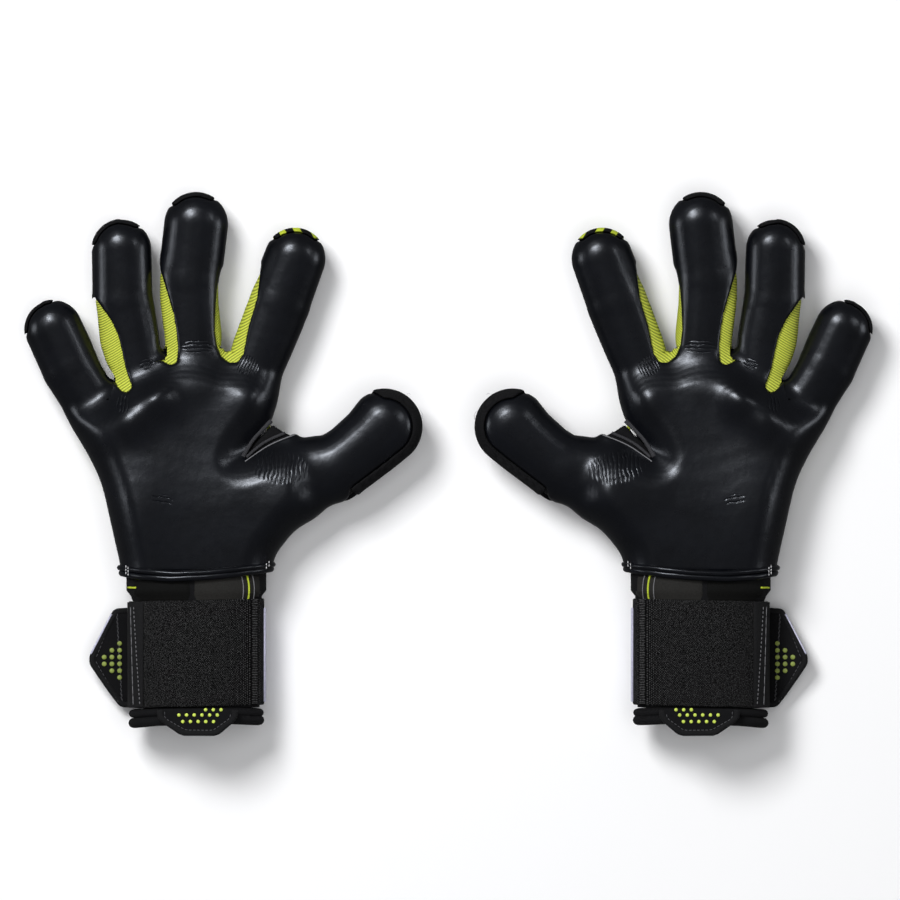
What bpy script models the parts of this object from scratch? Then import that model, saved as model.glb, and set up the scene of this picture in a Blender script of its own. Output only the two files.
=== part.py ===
"""Pair of goalkeeper gloves, lying palm up, fingers towards +Y, +Z up.

One glove is described in its own plan, in millimetres: x towards the thumb, y
towards the fingertips and z up out of the palm, with its origin under the
middle of the wrist crease, on the resting plane. place() puts it on either
side of the plane X = 0: the left glove mirrors the right one.

Sheets of latex and cloth are lofted as their outer skin, which faces out, and
a Solidify modifier gives them their thickness inwards.
"""

import math
from collections import namedtuple

import bmesh
import bpy
from mathutils import Matrix, Vector

MM = 0.001

# Driving dimensions, in millimetres and degrees.
GLOVE_CENTRE_X = 134.8  # wrist centre to the plane between the two gloves
WRIST_CREASE_Y = -72.4  # the wrist crease in the pair's frame
MOTION_GAP = 1.5  # from a knuckle's axis to the rim of each sleeve beside it
SHEET_GAP = 0.4  # between layers that are sewn or pressed together
FILM_GAP = 0.3  # between a print or a patch of tape and its backing

KNUCKLE_FLEX = 50.0
MIDDLE_FLEX = 65.0
THUMB_BASE_FLEX = 30.0
THUMB_TIP_FLEX = 45.0
SPARE_LEAN = 2.5  # each rim leans back this much more than half the flex

FINGER_Z = 18.5
THUMB_Z = 24.0
FINGER_WALL = 4.0
PALM_LATEX = 4.0
BACK_FABRIC = 3.0
LINING = 1.2
LINING_GAP = 1.0
KNUCKLE_PAD = 2.8
PAD_GAP = 0.8  # over the backhand, which leaves the pad flat where it rests
THUMB_GUSSET = 2.4

CUFF_Z = 23.6
CUFF_HALF_WIDTH = 33.8
CUFF_HALF_HEIGHT = 18.8
CUFF_WALL = 3.6
CUFF_FLARE = 3.6  # how much wider the sleeve gets at the palm's heel
CUFF_FLARE_RISE = 0.3  # share of the flare that goes into its height
CUFF_FLARE_Y = -2.0  # where the flare starts
CUFF_TOP_Y = 14.0
CUFF_BOTTOM_Y = -58.0
CUFF_ROWS_Y = (CUFF_BOTTOM_Y, -1.0, 4.0, 9.0, CUFF_TOP_Y)
STRAP_TOP_Y = -0.6
STRAP_BOTTOM_Y = -57.4
STRAP_THICK = 2.2
TAPE_THICK = 0.8
TAPE_TOP_Y = -9.0
TAPE_BOTTOM_Y = -54.0
TRIM_THICK = 1.2
TRIM_MARGIN = 2.0  # from the strap's edges to the trim's ends
BEAD_RADIUS = 2.9
BEAD_ARCS = (60, -120)  # where each of two beads starts, from the +y side round to +z
BEAD_TURN = 240
HEM_GAP = 0.9  # from the strap to the hem
HEM_INSET = 0.6
HEEL_GAP = 0.5
HEM_BOTTOM_Y = -69.8
HEEL_BEADS_Y = (11.2, 16.8)

# Strap pieces round the wrist: start and end in degrees. 0 is the thumb side, 90 the palm.
STRAP_ARC = (-92, 178)
ANCHOR_ARC = (134, 178)
TRIM_ARC = (-60, 4)
LOOP_TAPE_ARC = (-128, -97)
HEEL_ARC = (6, 174)

SQUARENESS = 2.4  # exponent of the rounded-box cross-sections
RING_STEPS = 14
PALM_STEPS = 14
PATCH_STEPS = 10
HEEL_STEPS = 14
CUFF_STEPS = 24
SHEET_STEP = 12.5  # degrees round the wrist, about
LEAST_STEPS = 4
BEAD_STEPS = 6
SMOOTH_BELOW = 40.0  # edges flatter than this are shaded smooth

# Halves are half-widths at the knuckle, the middle joint and the tip.
Finger = namedtuple("Finger", "name knuckle middle tip z halves half_thick")
FINGERS = (
    Finger("index", (30, 121), (44.5, 158), (52.6, 181.8), FINGER_Z, (12.5, 15.6, 16.4), 13.0),
    Finger("middle", (-1, 129), (-2.6, 170), (-0.8, 200.2), FINGER_Z, (12.0, 15.9, 16.9), 13.3),
    Finger("ring", (-30.5, 119), (-38.5, 159.2), (-40.6, 186.6), FINGER_Z, (11.6, 15.0, 16.0), 13.0),
    Finger("little", (-52, 100), (-65, 124.4), (-75.4, 143.2), FINGER_Z, (11.6, 14.4, 16.0), 12.2),
    Finger("thumb", (50, 62.2), (72.6, 71), (101.6, 91.6), THUMB_Z, (17.0, 18.0, 18.6), 14.6),
)
THUMB = FINGERS[-1]
THUMB_START = 7.5  # the thumb's first rim stands this far from its axis, clear of the palm's side
DOME_TURNS = (35, 62, 80)  # rings of a fingertip's dome, in degrees
DOME_SIDES = 0.8  # exponents that round the dome in plan and from the side
DOME_FACE = 0.7

# Stations of the palm: y, ulnar edge x, thumb-side edge x, middle z, half-height.
PALM_STATIONS = (
    (21, -41.5, 40.5, 24.4, 19.6),
    (40, -45.5, 49.5, 23.8, 20.2),
    (62, -51.5, 49.0, 23.0, 19.8),
    (86, -61.5, 42.0, 21.4, 18.0),
    (110, -67.5, 42.5, 20.2, 16.0),
    (126, -68.0, 46.5, 19.8, 15.6),
)
PALM_HEEL_Y = PALM_STATIONS[0][0]
PALM_END_HALF_HEIGHT = PALM_STATIONS[-1][-1]
PALM_ROWS = 6
# The knuckle line that the palm's far edge follows: x, y.
KNUCKLE_LINE = (
    (-66, 90), (-52, 97.5), (-41, 107), (-30.5, 115.5), (-15, 123),
    (-1, 125.5), (15, 123), (30, 117.5), (46, 112),
)
SIDE_SEAM = 2.0  # half the gap between the palm's and the back's edges, in degrees
LINING_ARC = (51, 151)
LINING_SPAN = (0.02, 0.97)  # from the heel to the knuckle line, as shares of the way
PAD_ARC = (-128.5, -51.5)
PAD_SPAN = (0.42, 0.9)
THUMB_HOLE_REACH = (-16, 14)

# Gussets between the fingers: web point, heading from +y towards +x in degrees, thickness.
WEB_GUSSETS = (
    ("index_middle", (15.4, 126.0), 11.0, 3.6),
    ("middle_ring", (-15.7, 124.5), -5.5, 3.0),
    ("ring_little", (-42.0, 111.0), -19.5, 2.0),
)
GUSSET_LENGTH = 16.0
GUSSET_HALF_HEIGHT = 10.5
GUSSET_SIDE = ((0, 1), (0.7, 1), (1, 0.55), (1, -0.55), (0.7, -1), (0, -1))  # shares of both
THUMB_GUSSET_ROWS = (85.0, 89.0, 94.0, 99.0)
THUMB_GUSSET_TURNS = (-30, -15, 0, 15, 30)
THUMB_GUSSET_GAP = 1.5

TAIL_THICK = 1.8
TAIL_HINGE_X = -2.0
TAIL_LEAVES_X = -20.0  # from here the tail runs straight out, away from the wrist
TAIL_SLOPE = 15.0
TAIL_STATIONS = (-57.5, -50.5, -43.5, -40.0, -30.0, -20.0, -14.0, -8.0, -2.0)
TAIL_TOP = ((-57.5, -31.0), (-43.5, -4.9), (-2.0, -4.9))
TAIL_LOW = ((-57.5, -34.4), (-40.0, -58.6), (-2.0, -58.6))
HOOK_TAPE_STATIONS = (-19.0, -15.0, -11.0, -6.0)
TAIL_FILM = (
    (-39.4, -46.0), (-39.4, -20.5), (-44.0, -20.5), (-52.6, -31.0), (-52.6, -35.4), (-44.0, -46.0),
)
TAIL_DOTS = (6, 4, 2)  # how many in each column, away from the wrist
TAIL_DOT_RADIUS = 1.45
TAIL_DOTS_FROM = (-41.3, -33.2)
TAIL_DOT_PITCH = (-4.1, 3.65)

TAB_THICK = 1.8
TAB_TOP_Y = -58.6
TAB_GAP = 0.8  # between the strap's height and the tab's underside
TAB_Z = CUFF_Z + CUFF_HALF_HEIGHT + STRAP_THICK + SHEET_GAP + TAB_GAP
TAB_OUTLINE = ((-20, TAB_TOP_Y), (-20, -62.4), (-7.4, -72.2), (11.5, -72.2), (22, -62.0), (22, TAB_TOP_Y))
TAB_FILM = ((-11.0, -59.8), (-11.0, -62.8), (-8.0, -67.2), (10.6, -67.2), (13.6, -62.8), (13.6, -59.8))
TAB_DOT_ROWS = ((6, -61.6), (5, -65.3))  # how many, and the row's y
TAB_DOT_MIDDLE_X = 1.3
TAB_DOT_PITCH = 4.1
TAB_DOT_RADIUS = 1.0
PRINT_FILM = 0.35
PRINT_RAISE = 0.5
DOT_SIDES = 8

# Each finish: colour, roughness.
FINISHES = {
    "latex": ((0.012, 0.013, 0.017), 0.42),
    "lime_mesh": ((0.62, 0.75, 0.03), 0.75),
    "black_fabric": ((0.012, 0.012, 0.013), 0.8),
    "elastic": ((0.009, 0.009, 0.009), 0.9),
    "towelling": ((0.05, 0.05, 0.055), 0.95),
    "white_rubber": ((0.72, 0.73, 0.8), 0.45),
    "lime_rubber": ((0.6, 0.72, 0.08), 0.5),
    "hook_tape": ((0.02, 0.02, 0.02), 0.85),
}


def clear_scene():
    for obj in list(bpy.data.objects):
        bpy.data.objects.remove(obj)


def material(finish):
    """One Principled material for each finish, made on first use."""
    found = bpy.data.materials.get(finish)
    if found:
        return found
    colour, roughness = FINISHES[finish]
    made = bpy.data.materials.new(finish)
    made.use_nodes = True
    shader = made.node_tree.nodes["Principled BSDF"]
    shader.inputs["Base Color"].default_value = (*colour, 1.0)
    shader.inputs["Roughness"].default_value = roughness
    shader.inputs["Metallic"].default_value = 0.0
    return made


def place(side, point):
    """A point of the glove's plan as a point of the pair's frame, in metres."""
    x, y, z = point
    across = x - GLOVE_CENTRE_X
    if side == "left":
        across = -across
    return Vector((across, y + WRIST_CREASE_Y, z)) * MM


def between(table, value):
    """The other columns of a table at a value of its first column, in straight steps."""
    if value <= table[0][0]:
        return table[0][1:]
    for low, high in zip(table, table[1:]):
        if value <= high[0]:
            share = (value - low[0]) / (high[0] - low[0])
            return tuple(a + share * (b - a) for a, b in zip(low[1:], high[1:]))
    return table[-1][1:]


def steps_over(start, end, count):
    """count + 1 values in equal steps from start to end."""
    return [start + (end - start) * k / count for k in range(count + 1)]


def rounded(degrees):
    """A point of the unit rounded box, as (across, up)."""
    turn = math.radians(degrees)
    c, s = math.cos(turn), math.sin(turn)
    power = 2.0 / SQUARENESS
    return math.copysign(abs(c) ** power, c), math.copysign(abs(s) ** power, s)


def body(name, side, point, parent=None):
    """An empty on a body's joint axis. What moves with the body hangs from it."""
    empty = bpy.data.objects.new(name, None)
    bpy.context.scene.collection.objects.link(empty)
    empty.location = place(side, point)
    if parent:
        empty.parent = parent
        empty.location -= parent.matrix_world.translation
    bpy.context.view_layer.update()
    return empty


def finish_mesh(bm, name, finish, pivot):
    """Turns a bmesh into a smooth-shaded object under its body's empty."""
    mesh = bpy.data.meshes.new(name)
    bm.to_mesh(mesh)
    bm.free()
    mesh.shade_smooth()
    mesh.set_sharp_from_angle(angle=math.radians(SMOOTH_BELOW))
    mesh.materials.append(material(finish))
    obj = bpy.data.objects.new(name, mesh)
    bpy.context.scene.collection.objects.link(obj)
    obj.parent = pivot
    return obj


def mesh_object(name, side, points, faces, finish, pivot):
    """A mesh of points in the glove's plan. The left glove's faces are turned round."""
    bm = bmesh.new()
    origin = pivot.matrix_world.translation
    corners = [bm.verts.new(place(side, point) - origin) for point in points]
    for face in faces:
        order = face[::-1] if side == "left" else face
        bm.faces.new([corners[i] for i in order])
    return finish_mesh(bm, name, finish, pivot)


def loft(rings, closed_ring=True, closed_row=False):
    """(points, faces) of equal rings joined in a row.

    Faces look out where rings turn from +x up to +z and follow each other along +y.
    """
    count = len(rings[0])
    points = [point for ring in rings for point in ring]
    faces = []
    for row in range(len(rings) if closed_row else len(rings) - 1):
        here = row * count
        there = (row + 1) % len(rings) * count
        for k in range(count if closed_ring else count - 1):
            after = (k + 1) % count
            faces.append((here + k, there + k, there + after, here + after))
    return points, faces


def thicken(obj, thickness, offset=-1.0):
    """Gives a skin its thickness, inwards unless the offset says otherwise."""
    made = obj.modifiers.new("thickness", "SOLIDIFY")
    made.thickness = thickness * MM
    made.offset = offset
    return obj


def combine(obj, other, operation):
    """Cuts another object out of this one, or joins it on. The other becomes a helper."""
    other.hide_render = True
    other.display_type = "WIRE"
    made = obj.modifiers.new(operation.lower(), "BOOLEAN")
    made.operation = operation
    made.object = other
    made.solver = "EXACT"


def heading(start, end):
    """Unit direction in the plan, the direction to its right, and the distance."""
    along = Vector((end[0] - start[0], end[1] - start[1], 0))
    length = along.length
    along.normalize()
    return along, Vector((along.y, -along.x, 0)), length


def ring(centre, along, across, half_width, half_height, lean=0.0):
    """A rounded-box ring. Its upper half leans forward by lean for each millimetre up."""
    points = []
    for k in range(RING_STEPS):
        c, s = rounded(360 * k / RING_STEPS)
        height = half_height * s
        forward = along * (lean * max(0.0, height))
        points.append(centre + across * (half_width * c) + forward + Vector((0, 0, height)))
    return points


def flexes(finger):
    """How far a finger bends at its knuckle and at its middle joint."""
    if finger is THUMB:
        return THUMB_BASE_FLEX, THUMB_TIP_FLEX
    return KNUCKLE_FLEX, MIDDLE_FLEX


def relief(flex):
    """How much a rim leans back for each millimetre above the knuckle's axis."""
    return math.tan(math.radians(flex / 2 + SPARE_LEAN))


def finger_base(side, finger, pivot):
    """The sleeve from the knuckle to the middle joint. Each rim is square to its own axis."""
    along, across, length = heading(finger.knuckle, finger.middle)
    tip_along, tip_across, _ = heading(finger.middle, finger.tip)
    knuckle = Vector((*finger.knuckle, finger.z))
    middle = Vector((*finger.middle, finger.z))
    start = THUMB_START if finger is THUMB else MOTION_GAP
    base_half, middle_half, _ = finger.halves
    waist_half = (base_half + 2 * middle_half) / 3
    waist = (start + length - MOTION_GAP) / 2
    base_lean, tip_lean = (relief(flex) for flex in flexes(finger))
    thick = finger.half_thick
    rings = (
        ring(knuckle + along * start, along, across, base_half, thick, base_lean),
        ring(knuckle + along * waist, along, across, waist_half, thick, (base_lean - tip_lean) / 2),
        ring(middle - tip_along * MOTION_GAP, tip_along, tip_across, middle_half, thick, -tip_lean),
    )
    points, faces = loft(rings)
    skin = mesh_object(f"{side}_{finger.name}_base_wrap", side, points, faces, "latex", pivot)
    thicken(skin, FINGER_WALL)


def finger_tip(side, finger, pivot):
    """The sleeve from the middle joint to the rounded, closed fingertip."""
    along, across, length = heading(finger.middle, finger.tip)
    middle = Vector((*finger.middle, finger.z))
    _, middle_half, half = finger.halves
    thick = finger.half_thick
    _, tip_flex = flexes(finger)
    rings = [
        ring(middle + along * MOTION_GAP, along, across, middle_half, thick, relief(tip_flex)),
        ring(middle + along * length, along, across, half, thick),
    ]
    for degrees in DOME_TURNS:
        turn = math.radians(degrees)
        centre = middle + along * (length + half * math.sin(turn))
        in_plan = half * math.cos(turn) ** DOME_SIDES
        in_face = thick * math.cos(turn) ** DOME_FACE
        rings.append(ring(centre, along, across, in_plan, in_face))
    points, faces = loft(rings)
    faces.append(tuple(range(len(points) - 1, len(points) - RING_STEPS - 1, -1)))
    skin = mesh_object(f"{side}_{finger.name}_tip_wrap", side, points, faces, "latex", pivot)
    thicken(skin, FINGER_WALL)


def palm_point(share, degrees, outset):
    """A point off the palm's rounded-box surface. share runs from the heel to the knuckle line."""
    c, s = rounded(degrees)
    low_x, high_x = KNUCKLE_LINE[0][0], KNUCKLE_LINE[-1][0]
    (edge_y,) = between(KNUCKLE_LINE, (low_x + high_x + (high_x - low_x) * c) / 2)
    lean = relief(KNUCKLE_FLEX) * max(0.0, s) * PALM_END_HALF_HEIGHT
    y = PALM_HEEL_Y + share * (edge_y - MOTION_GAP - lean - PALM_HEEL_Y)
    low, high, middle, half = between(PALM_STATIONS, y)
    x = (low + high) / 2 + ((high - low) / 2 + outset) * c
    # What would reach below the table is pressed flat on it.
    return x, y, max(0.0, middle + (half + outset) * s)


def palm_sheet(name, side, arc, columns, span, outset, thickness, finish, pivot):
    """A sheet that lies at an outset from the palm's surface, over an arc and a span of it."""
    rows = []
    for share in steps_over(*span, PALM_ROWS):
        rows.append([palm_point(share, degrees, outset) for degrees in steps_over(*arc, columns)])
    points, faces = loft(rows, closed_ring=False)
    return thicken(mesh_object(name, side, points, faces, finish, pivot), thickness)


def thumb_hole(side, pivot):
    """The cutter that opens the palm's side where the thumb goes out."""
    along, across, _ = heading(THUMB.knuckle, THUMB.middle)
    centre = Vector((*THUMB.knuckle, THUMB.z))
    half_width = THUMB.halves[0] - FINGER_WALL
    half_height = THUMB.half_thick - FINGER_WALL
    rings = []
    for reach in THUMB_HOLE_REACH:
        rings.append(ring(centre + along * reach, along, across, half_width, half_height))
    points, faces = loft(rings)
    faces.append(tuple(range(RING_STEPS)))
    faces.append(tuple(range(2 * RING_STEPS - 1, RING_STEPS - 1, -1)))
    return mesh_object(f"{side}_thumb_hole", side, points, faces, "latex", pivot)


def palm_shells(side, pivot):
    """Palm latex, backhand, lining and knuckle padding."""
    cutter = thumb_hole(side, pivot)
    top = (SIDE_SEAM, 180 - SIDE_SEAM)
    under = (SIDE_SEAM - 180, -SIDE_SEAM)
    full = (0, 1)
    palm = palm_sheet(f"{side}_palm_latex", side, top, PALM_STEPS, full, 0.0, PALM_LATEX, "latex", pivot)
    back = palm_sheet(
        f"{side}_backhand", side, under, PALM_STEPS, full, 0.0, BACK_FABRIC, "black_fabric", pivot
    )
    combine(palm, cutter, "DIFFERENCE")
    combine(back, cutter, "DIFFERENCE")
    below_latex = -PALM_LATEX - LINING_GAP
    palm_sheet(
        f"{side}_palm_lining", side, LINING_ARC, PATCH_STEPS, LINING_SPAN, below_latex, LINING, "towelling",
        pivot,
    )
    over_back = PAD_GAP + KNUCKLE_PAD
    palm_sheet(
        f"{side}_knuckle_pad", side, PAD_ARC, PATCH_STEPS, PAD_SPAN, over_back, KNUCKLE_PAD, "latex", pivot
    )


def cuff_row(y, out, turns):
    """A row of points round the wrist sleeve, which flares towards the palm."""
    share = min(1.0, max(0.0, (y - CUFF_FLARE_Y) / (CUFF_TOP_Y - CUFF_FLARE_Y)))
    flare = CUFF_FLARE * share * share * (3 - 2 * share)
    half_width = CUFF_HALF_WIDTH + flare + out
    half_height = CUFF_HALF_HEIGHT + flare * CUFF_FLARE_RISE + out
    row = []
    for degrees in turns:
        c, s = rounded(degrees)
        row.append((half_width * c, y, CUFF_Z + half_height * s))
    return row


def cuff_sheet(name, side, ends, out, thickness, arc, finish, pivot):
    """A sheet round part of the wrist, between two values of y. out is its inner side's distance."""
    turns = steps_over(*arc, max(LEAST_STEPS, round((arc[1] - arc[0]) / SHEET_STEP)))
    rows = [cuff_row(y, out + thickness, turns) for y in ends]
    points, faces = loft(rows, closed_ring=False)
    thicken(mesh_object(name, side, points, faces, finish, pivot), thickness)


def cuff_sleeve(side, pivot):
    """The knitted tube round the wrist, all the way round."""
    turns = steps_over(0, 360, CUFF_STEPS)[:-1]
    rows = [cuff_row(y, 0.0, turns) for y in CUFF_ROWS_Y]
    points, faces = loft(rows)
    thicken(mesh_object(f"{side}_cuff_sleeve", side, points, faces, "black_fabric", pivot), CUFF_WALL)


def beads(name, side, centres, out, arc, steps, finish, pivot):
    """Two rolled beads sewn side by side, swept round the wrist."""
    full = arc[1] - arc[0] >= 360
    turns = steps_over(*arc, steps)
    if full:
        turns = turns[:-1]
    rows = []
    for centre, first in zip(centres, BEAD_ARCS):
        for degrees in steps_over(first, first + BEAD_TURN, BEAD_STEPS - 1):
            turn = math.radians(degrees)
            y = centre + BEAD_RADIUS * math.cos(turn)
            rows.append(cuff_row(y, out + BEAD_RADIUS * math.sin(turn), turns))
    rows.reverse()
    points, faces = loft(rows, closed_ring=full, closed_row=True)
    if not full:
        count = len(turns)
        faces.append(tuple(range(len(points) - count, -1, -count)))
        faces.append(tuple(range(count - 1, len(points), count)))
    mesh_object(name, side, points, faces, finish, pivot)


def web_gusset(side, name, web, turn, thick, pivot):
    """A lime gusset: a tongue of mesh fabric that stands between two fingers."""
    turn = math.radians(turn)
    along = Vector((math.sin(turn), math.cos(turn), 0))
    root = Vector((*web, FINGER_Z))
    points = []
    for reach, height in GUSSET_SIDE:
        points.append(root + along * (GUSSET_LENGTH * reach) + Vector((0, 0, GUSSET_HALF_HEIGHT * height)))
    face = tuple(range(len(points)))
    tongue = mesh_object(f"{side}_{name}_gusset", side, points, [face], "lime_mesh", pivot)
    thicken(tongue, thick, offset=0.0)


def thumb_gusset(side, pivot):
    """The black gusset in the crotch between the thumb and the index finger."""
    out = THUMB_GUSSET_GAP + THUMB_GUSSET
    rows = []
    for y in THUMB_GUSSET_ROWS:
        low, high, middle, half = between(PALM_STATIONS, y)
        row = []
        for c, s in map(rounded, THUMB_GUSSET_TURNS):
            row.append(((low + high) / 2 + ((high - low) / 2 + out) * c, y, middle + (half + out) * s))
        rows.append(row)
    points, faces = loft(rows, closed_ring=False)
    skin = mesh_object(f"{side}_thumb_gusset", side, points, faces, "black_fabric", pivot)
    thicken(skin, THUMB_GUSSET)


def flat_plate(name, side, outline, top, thickness, finish, pivot):
    """A plate of a flat outline, given anticlockwise. top(x) is the height of its upper face."""
    points = [(x, y, top(x)) for x, y in outline]
    plate = mesh_object(name, side, points, [tuple(range(len(points)))], finish, pivot)
    return thicken(plate, thickness)


def dot_print(name, side, film, dots, radius, low, pivot):
    """A thin printed film with raised grip dots, joined into one moulding. low(x) is its underside."""
    plate = flat_plate(name, side, film, lambda x: low(x) + PRINT_FILM, PRINT_FILM, "lime_rubber", pivot)
    depth = PRINT_FILM / 2 + PRINT_RAISE
    bm = bmesh.new()
    for x, y in dots:
        centre = place(side, (x, y, low(x) + (PRINT_FILM + depth) / 2)) - pivot.matrix_world.translation
        bmesh.ops.create_cone(
            bm, cap_ends=True, segments=DOT_SIDES, radius1=radius * MM, radius2=radius * MM,
            depth=depth * MM, matrix=Matrix.Translation(centre),
        )
    combine(plate, finish_mesh(bm, f"{name}_raised", "lime_rubber", pivot), "UNION")


def tail_z(x):
    """The tail's underside: round the back of the wrist, then straight out."""
    room = STRAP_THICK + 2 * SHEET_GAP + TAIL_THICK
    bend_x = max(x, TAIL_LEAVES_X)
    inside = 1.0 - (abs(bend_x) / (CUFF_HALF_WIDTH + room)) ** SQUARENESS
    z = CUFF_Z - (CUFF_HALF_HEIGHT + room) * inside ** (1 / SQUARENESS)
    return z + (bend_x - x) * math.tan(math.radians(TAIL_SLOPE))


def tail_hinge():
    """Where the tail leaves the band and bends: the middle of its upper skin."""
    return TAIL_HINGE_X, (STRAP_TOP_Y + STRAP_BOTTOM_Y) / 2, tail_z(TAIL_HINGE_X) + TAIL_THICK


def tail_sheet(name, side, stations, edges, lift, thickness, finish, pivot):
    """A sheet that follows the tail. edges(x) gives its low and high y, lift its underside."""
    rows = []
    for x in stations:
        low, high = edges(x)
        z = tail_z(x) + lift + thickness
        rows.append([(x, low, z), (x, high, z)])
    points, faces = loft(rows, closed_ring=False)
    thicken(mesh_object(name, side, points, faces, finish, pivot), thickness)


def strap_tail(side, pivot):
    """The strap's free end: a tail whose pointed tab stands out past the wrist."""
    def tail_edges(x):
        return between(TAIL_LOW, x)[0], between(TAIL_TOP, x)[0]

    tail_sheet(f"{side}_strap_tail", side, TAIL_STATIONS, tail_edges, 0.0, TAIL_THICK, "black_fabric", pivot)
    over_tail = TAIL_THICK + FILM_GAP
    tape = (TAPE_BOTTOM_Y, TAPE_TOP_Y)
    tail_sheet(
        f"{side}_hook_patch", side, HOOK_TAPE_STATIONS, lambda x: tape, over_tail, TAPE_THICK, "hook_tape",
        pivot,
    )
    dots = []
    for column, count in enumerate(TAIL_DOTS):
        x = TAIL_DOTS_FROM[0] + TAIL_DOT_PITCH[0] * column
        for k in range(count):
            dots.append((x, TAIL_DOTS_FROM[1] + TAIL_DOT_PITCH[1] * (k - (count - 1) / 2)))
    film = TAIL_FILM[::-1]
    dot_print(
        f"{side}_strap_grip_dots", side, film, dots, TAIL_DOT_RADIUS, lambda x: tail_z(x) + over_tail, pivot
    )


def strap_closure(side, pivot):
    """The elastic band with its sewn anchor, edge trim, and the loop tape under its tail."""
    ends = (STRAP_BOTTOM_Y, STRAP_TOP_Y)
    over_band = SHEET_GAP + STRAP_THICK + FILM_GAP
    trim_ends = (STRAP_BOTTOM_Y + TRIM_MARGIN, STRAP_TOP_Y - TRIM_MARGIN)
    tape_ends = (TAPE_BOTTOM_Y, TAPE_TOP_Y)
    cuff_sheet(f"{side}_wrist_strap", side, ends, SHEET_GAP, STRAP_THICK, STRAP_ARC, "elastic", pivot)
    cuff_sheet(f"{side}_strap_anchor", side, ends, over_band, TAPE_THICK, ANCHOR_ARC, "black_fabric", pivot)
    cuff_sheet(
        f"{side}_strap_edge_trim", side, trim_ends, over_band, TRIM_THICK, TRIM_ARC, "white_rubber", pivot
    )
    cuff_sheet(f"{side}_loop_patch", side, tape_ends, FILM_GAP, TAPE_THICK, LOOP_TAPE_ARC, "hook_tape", pivot)


def tab_hinge():
    """Where the pull tab bends: the edge that is sewn in under the strap."""
    return TAB_DOT_MIDDLE_X, TAB_TOP_Y, TAB_Z


def pull_tab(side, pivot):
    """The tab below the strap that pulls the glove on, with its printed dots."""
    top = TAB_Z + TAB_THICK
    flat_plate(f"{side}_pull_tab", side, TAB_OUTLINE, lambda x: top, TAB_THICK, "black_fabric", pivot)
    dots = []
    for count, y in TAB_DOT_ROWS:
        for k in range(count):
            dots.append((TAB_DOT_MIDDLE_X + TAB_DOT_PITCH * (k - (count - 1) / 2), y))
    dot_print(f"{side}_pull_tab_dots", side, TAB_FILM, dots, TAB_DOT_RADIUS, lambda x: top + FILM_GAP, pivot)


def cuff(side, pivot):
    """The wrist sleeve with the rolled hem at its end and the rolled binding at the heel."""
    cuff_sleeve(side, pivot)
    hem = (HEM_BOTTOM_Y + BEAD_RADIUS, STRAP_BOTTOM_Y - HEM_GAP - BEAD_RADIUS)
    beads(f"{side}_cuff_hem", side, hem, -HEM_INSET, (0, 360), CUFF_STEPS, "black_fabric", pivot)
    over_palm = BEAD_RADIUS + HEEL_GAP
    beads(f"{side}_heel_binding", side, HEEL_BEADS_Y, over_palm, HEEL_ARC, HEEL_STEPS, "latex", pivot)


def glove(side):
    hand = body(f"{side}_hand_frame", side, (0, 0, 0))
    palm_shells(side, hand)
    thumb_gusset(side, hand)
    for name, web, turn, thick in WEB_GUSSETS:
        web_gusset(side, name, web, turn, thick, hand)
    cuff(side, hand)
    strap_closure(side, hand)
    strap_tail(side, body(f"{side}_strap_tail_axis", side, tail_hinge(), hand))
    pull_tab(side, body(f"{side}_pull_tab_axis", side, tab_hinge(), hand))
    for finger in FINGERS:
        base = body(f"{side}_{finger.name}_base_axis", side, (*finger.knuckle, finger.z), hand)
        finger_base(side, finger, base)
        tip = body(f"{side}_{finger.name}_tip_axis", side, (*finger.middle, finger.z), base)
        finger_tip(side, finger, tip)


def main():
    clear_scene()
    for side in ("right", "left"):
        glove(side)


main()
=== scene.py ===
"""Looks of a pair of padded goalkeeper gloves that lie palm up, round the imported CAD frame.

Each glove is described in its own plan, in millimetres: x towards the thumb, y towards the
fingertips and z up out of the palm. The left glove mirrors the right one. The hand is a solid
field, made of tapered capsules for the digits and a padded outline for the palm. Its latex, its
back panels and the fabric under them are shells of that field, cut apart along the real seams.
"""
import math
from collections import namedtuple

import bmesh
import bpy
import numpy as np
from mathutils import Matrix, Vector


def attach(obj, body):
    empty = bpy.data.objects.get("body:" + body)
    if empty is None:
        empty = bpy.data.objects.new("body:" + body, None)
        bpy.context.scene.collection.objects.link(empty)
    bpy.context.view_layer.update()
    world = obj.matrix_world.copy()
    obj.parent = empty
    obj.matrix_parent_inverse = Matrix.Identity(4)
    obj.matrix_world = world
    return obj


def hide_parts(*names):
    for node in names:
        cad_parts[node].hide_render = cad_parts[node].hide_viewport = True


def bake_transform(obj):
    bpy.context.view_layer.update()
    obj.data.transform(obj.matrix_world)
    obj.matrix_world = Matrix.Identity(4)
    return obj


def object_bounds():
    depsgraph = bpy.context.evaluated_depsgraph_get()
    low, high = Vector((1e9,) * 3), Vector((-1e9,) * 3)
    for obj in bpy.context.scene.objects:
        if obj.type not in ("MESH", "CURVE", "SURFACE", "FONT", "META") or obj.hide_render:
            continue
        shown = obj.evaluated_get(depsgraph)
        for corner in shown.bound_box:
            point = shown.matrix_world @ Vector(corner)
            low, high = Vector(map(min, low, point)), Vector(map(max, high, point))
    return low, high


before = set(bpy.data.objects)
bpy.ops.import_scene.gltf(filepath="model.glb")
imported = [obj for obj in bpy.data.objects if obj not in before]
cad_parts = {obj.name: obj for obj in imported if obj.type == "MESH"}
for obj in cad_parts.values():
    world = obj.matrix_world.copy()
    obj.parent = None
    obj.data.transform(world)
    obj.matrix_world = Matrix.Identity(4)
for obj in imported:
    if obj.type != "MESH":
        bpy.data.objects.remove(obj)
CAD_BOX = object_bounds()

MM = 0.001
SIDES = ("right", "left")
GLOVE_CENTRE_X = 134.8
WRIST_CREASE_Y = -72.4

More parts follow.
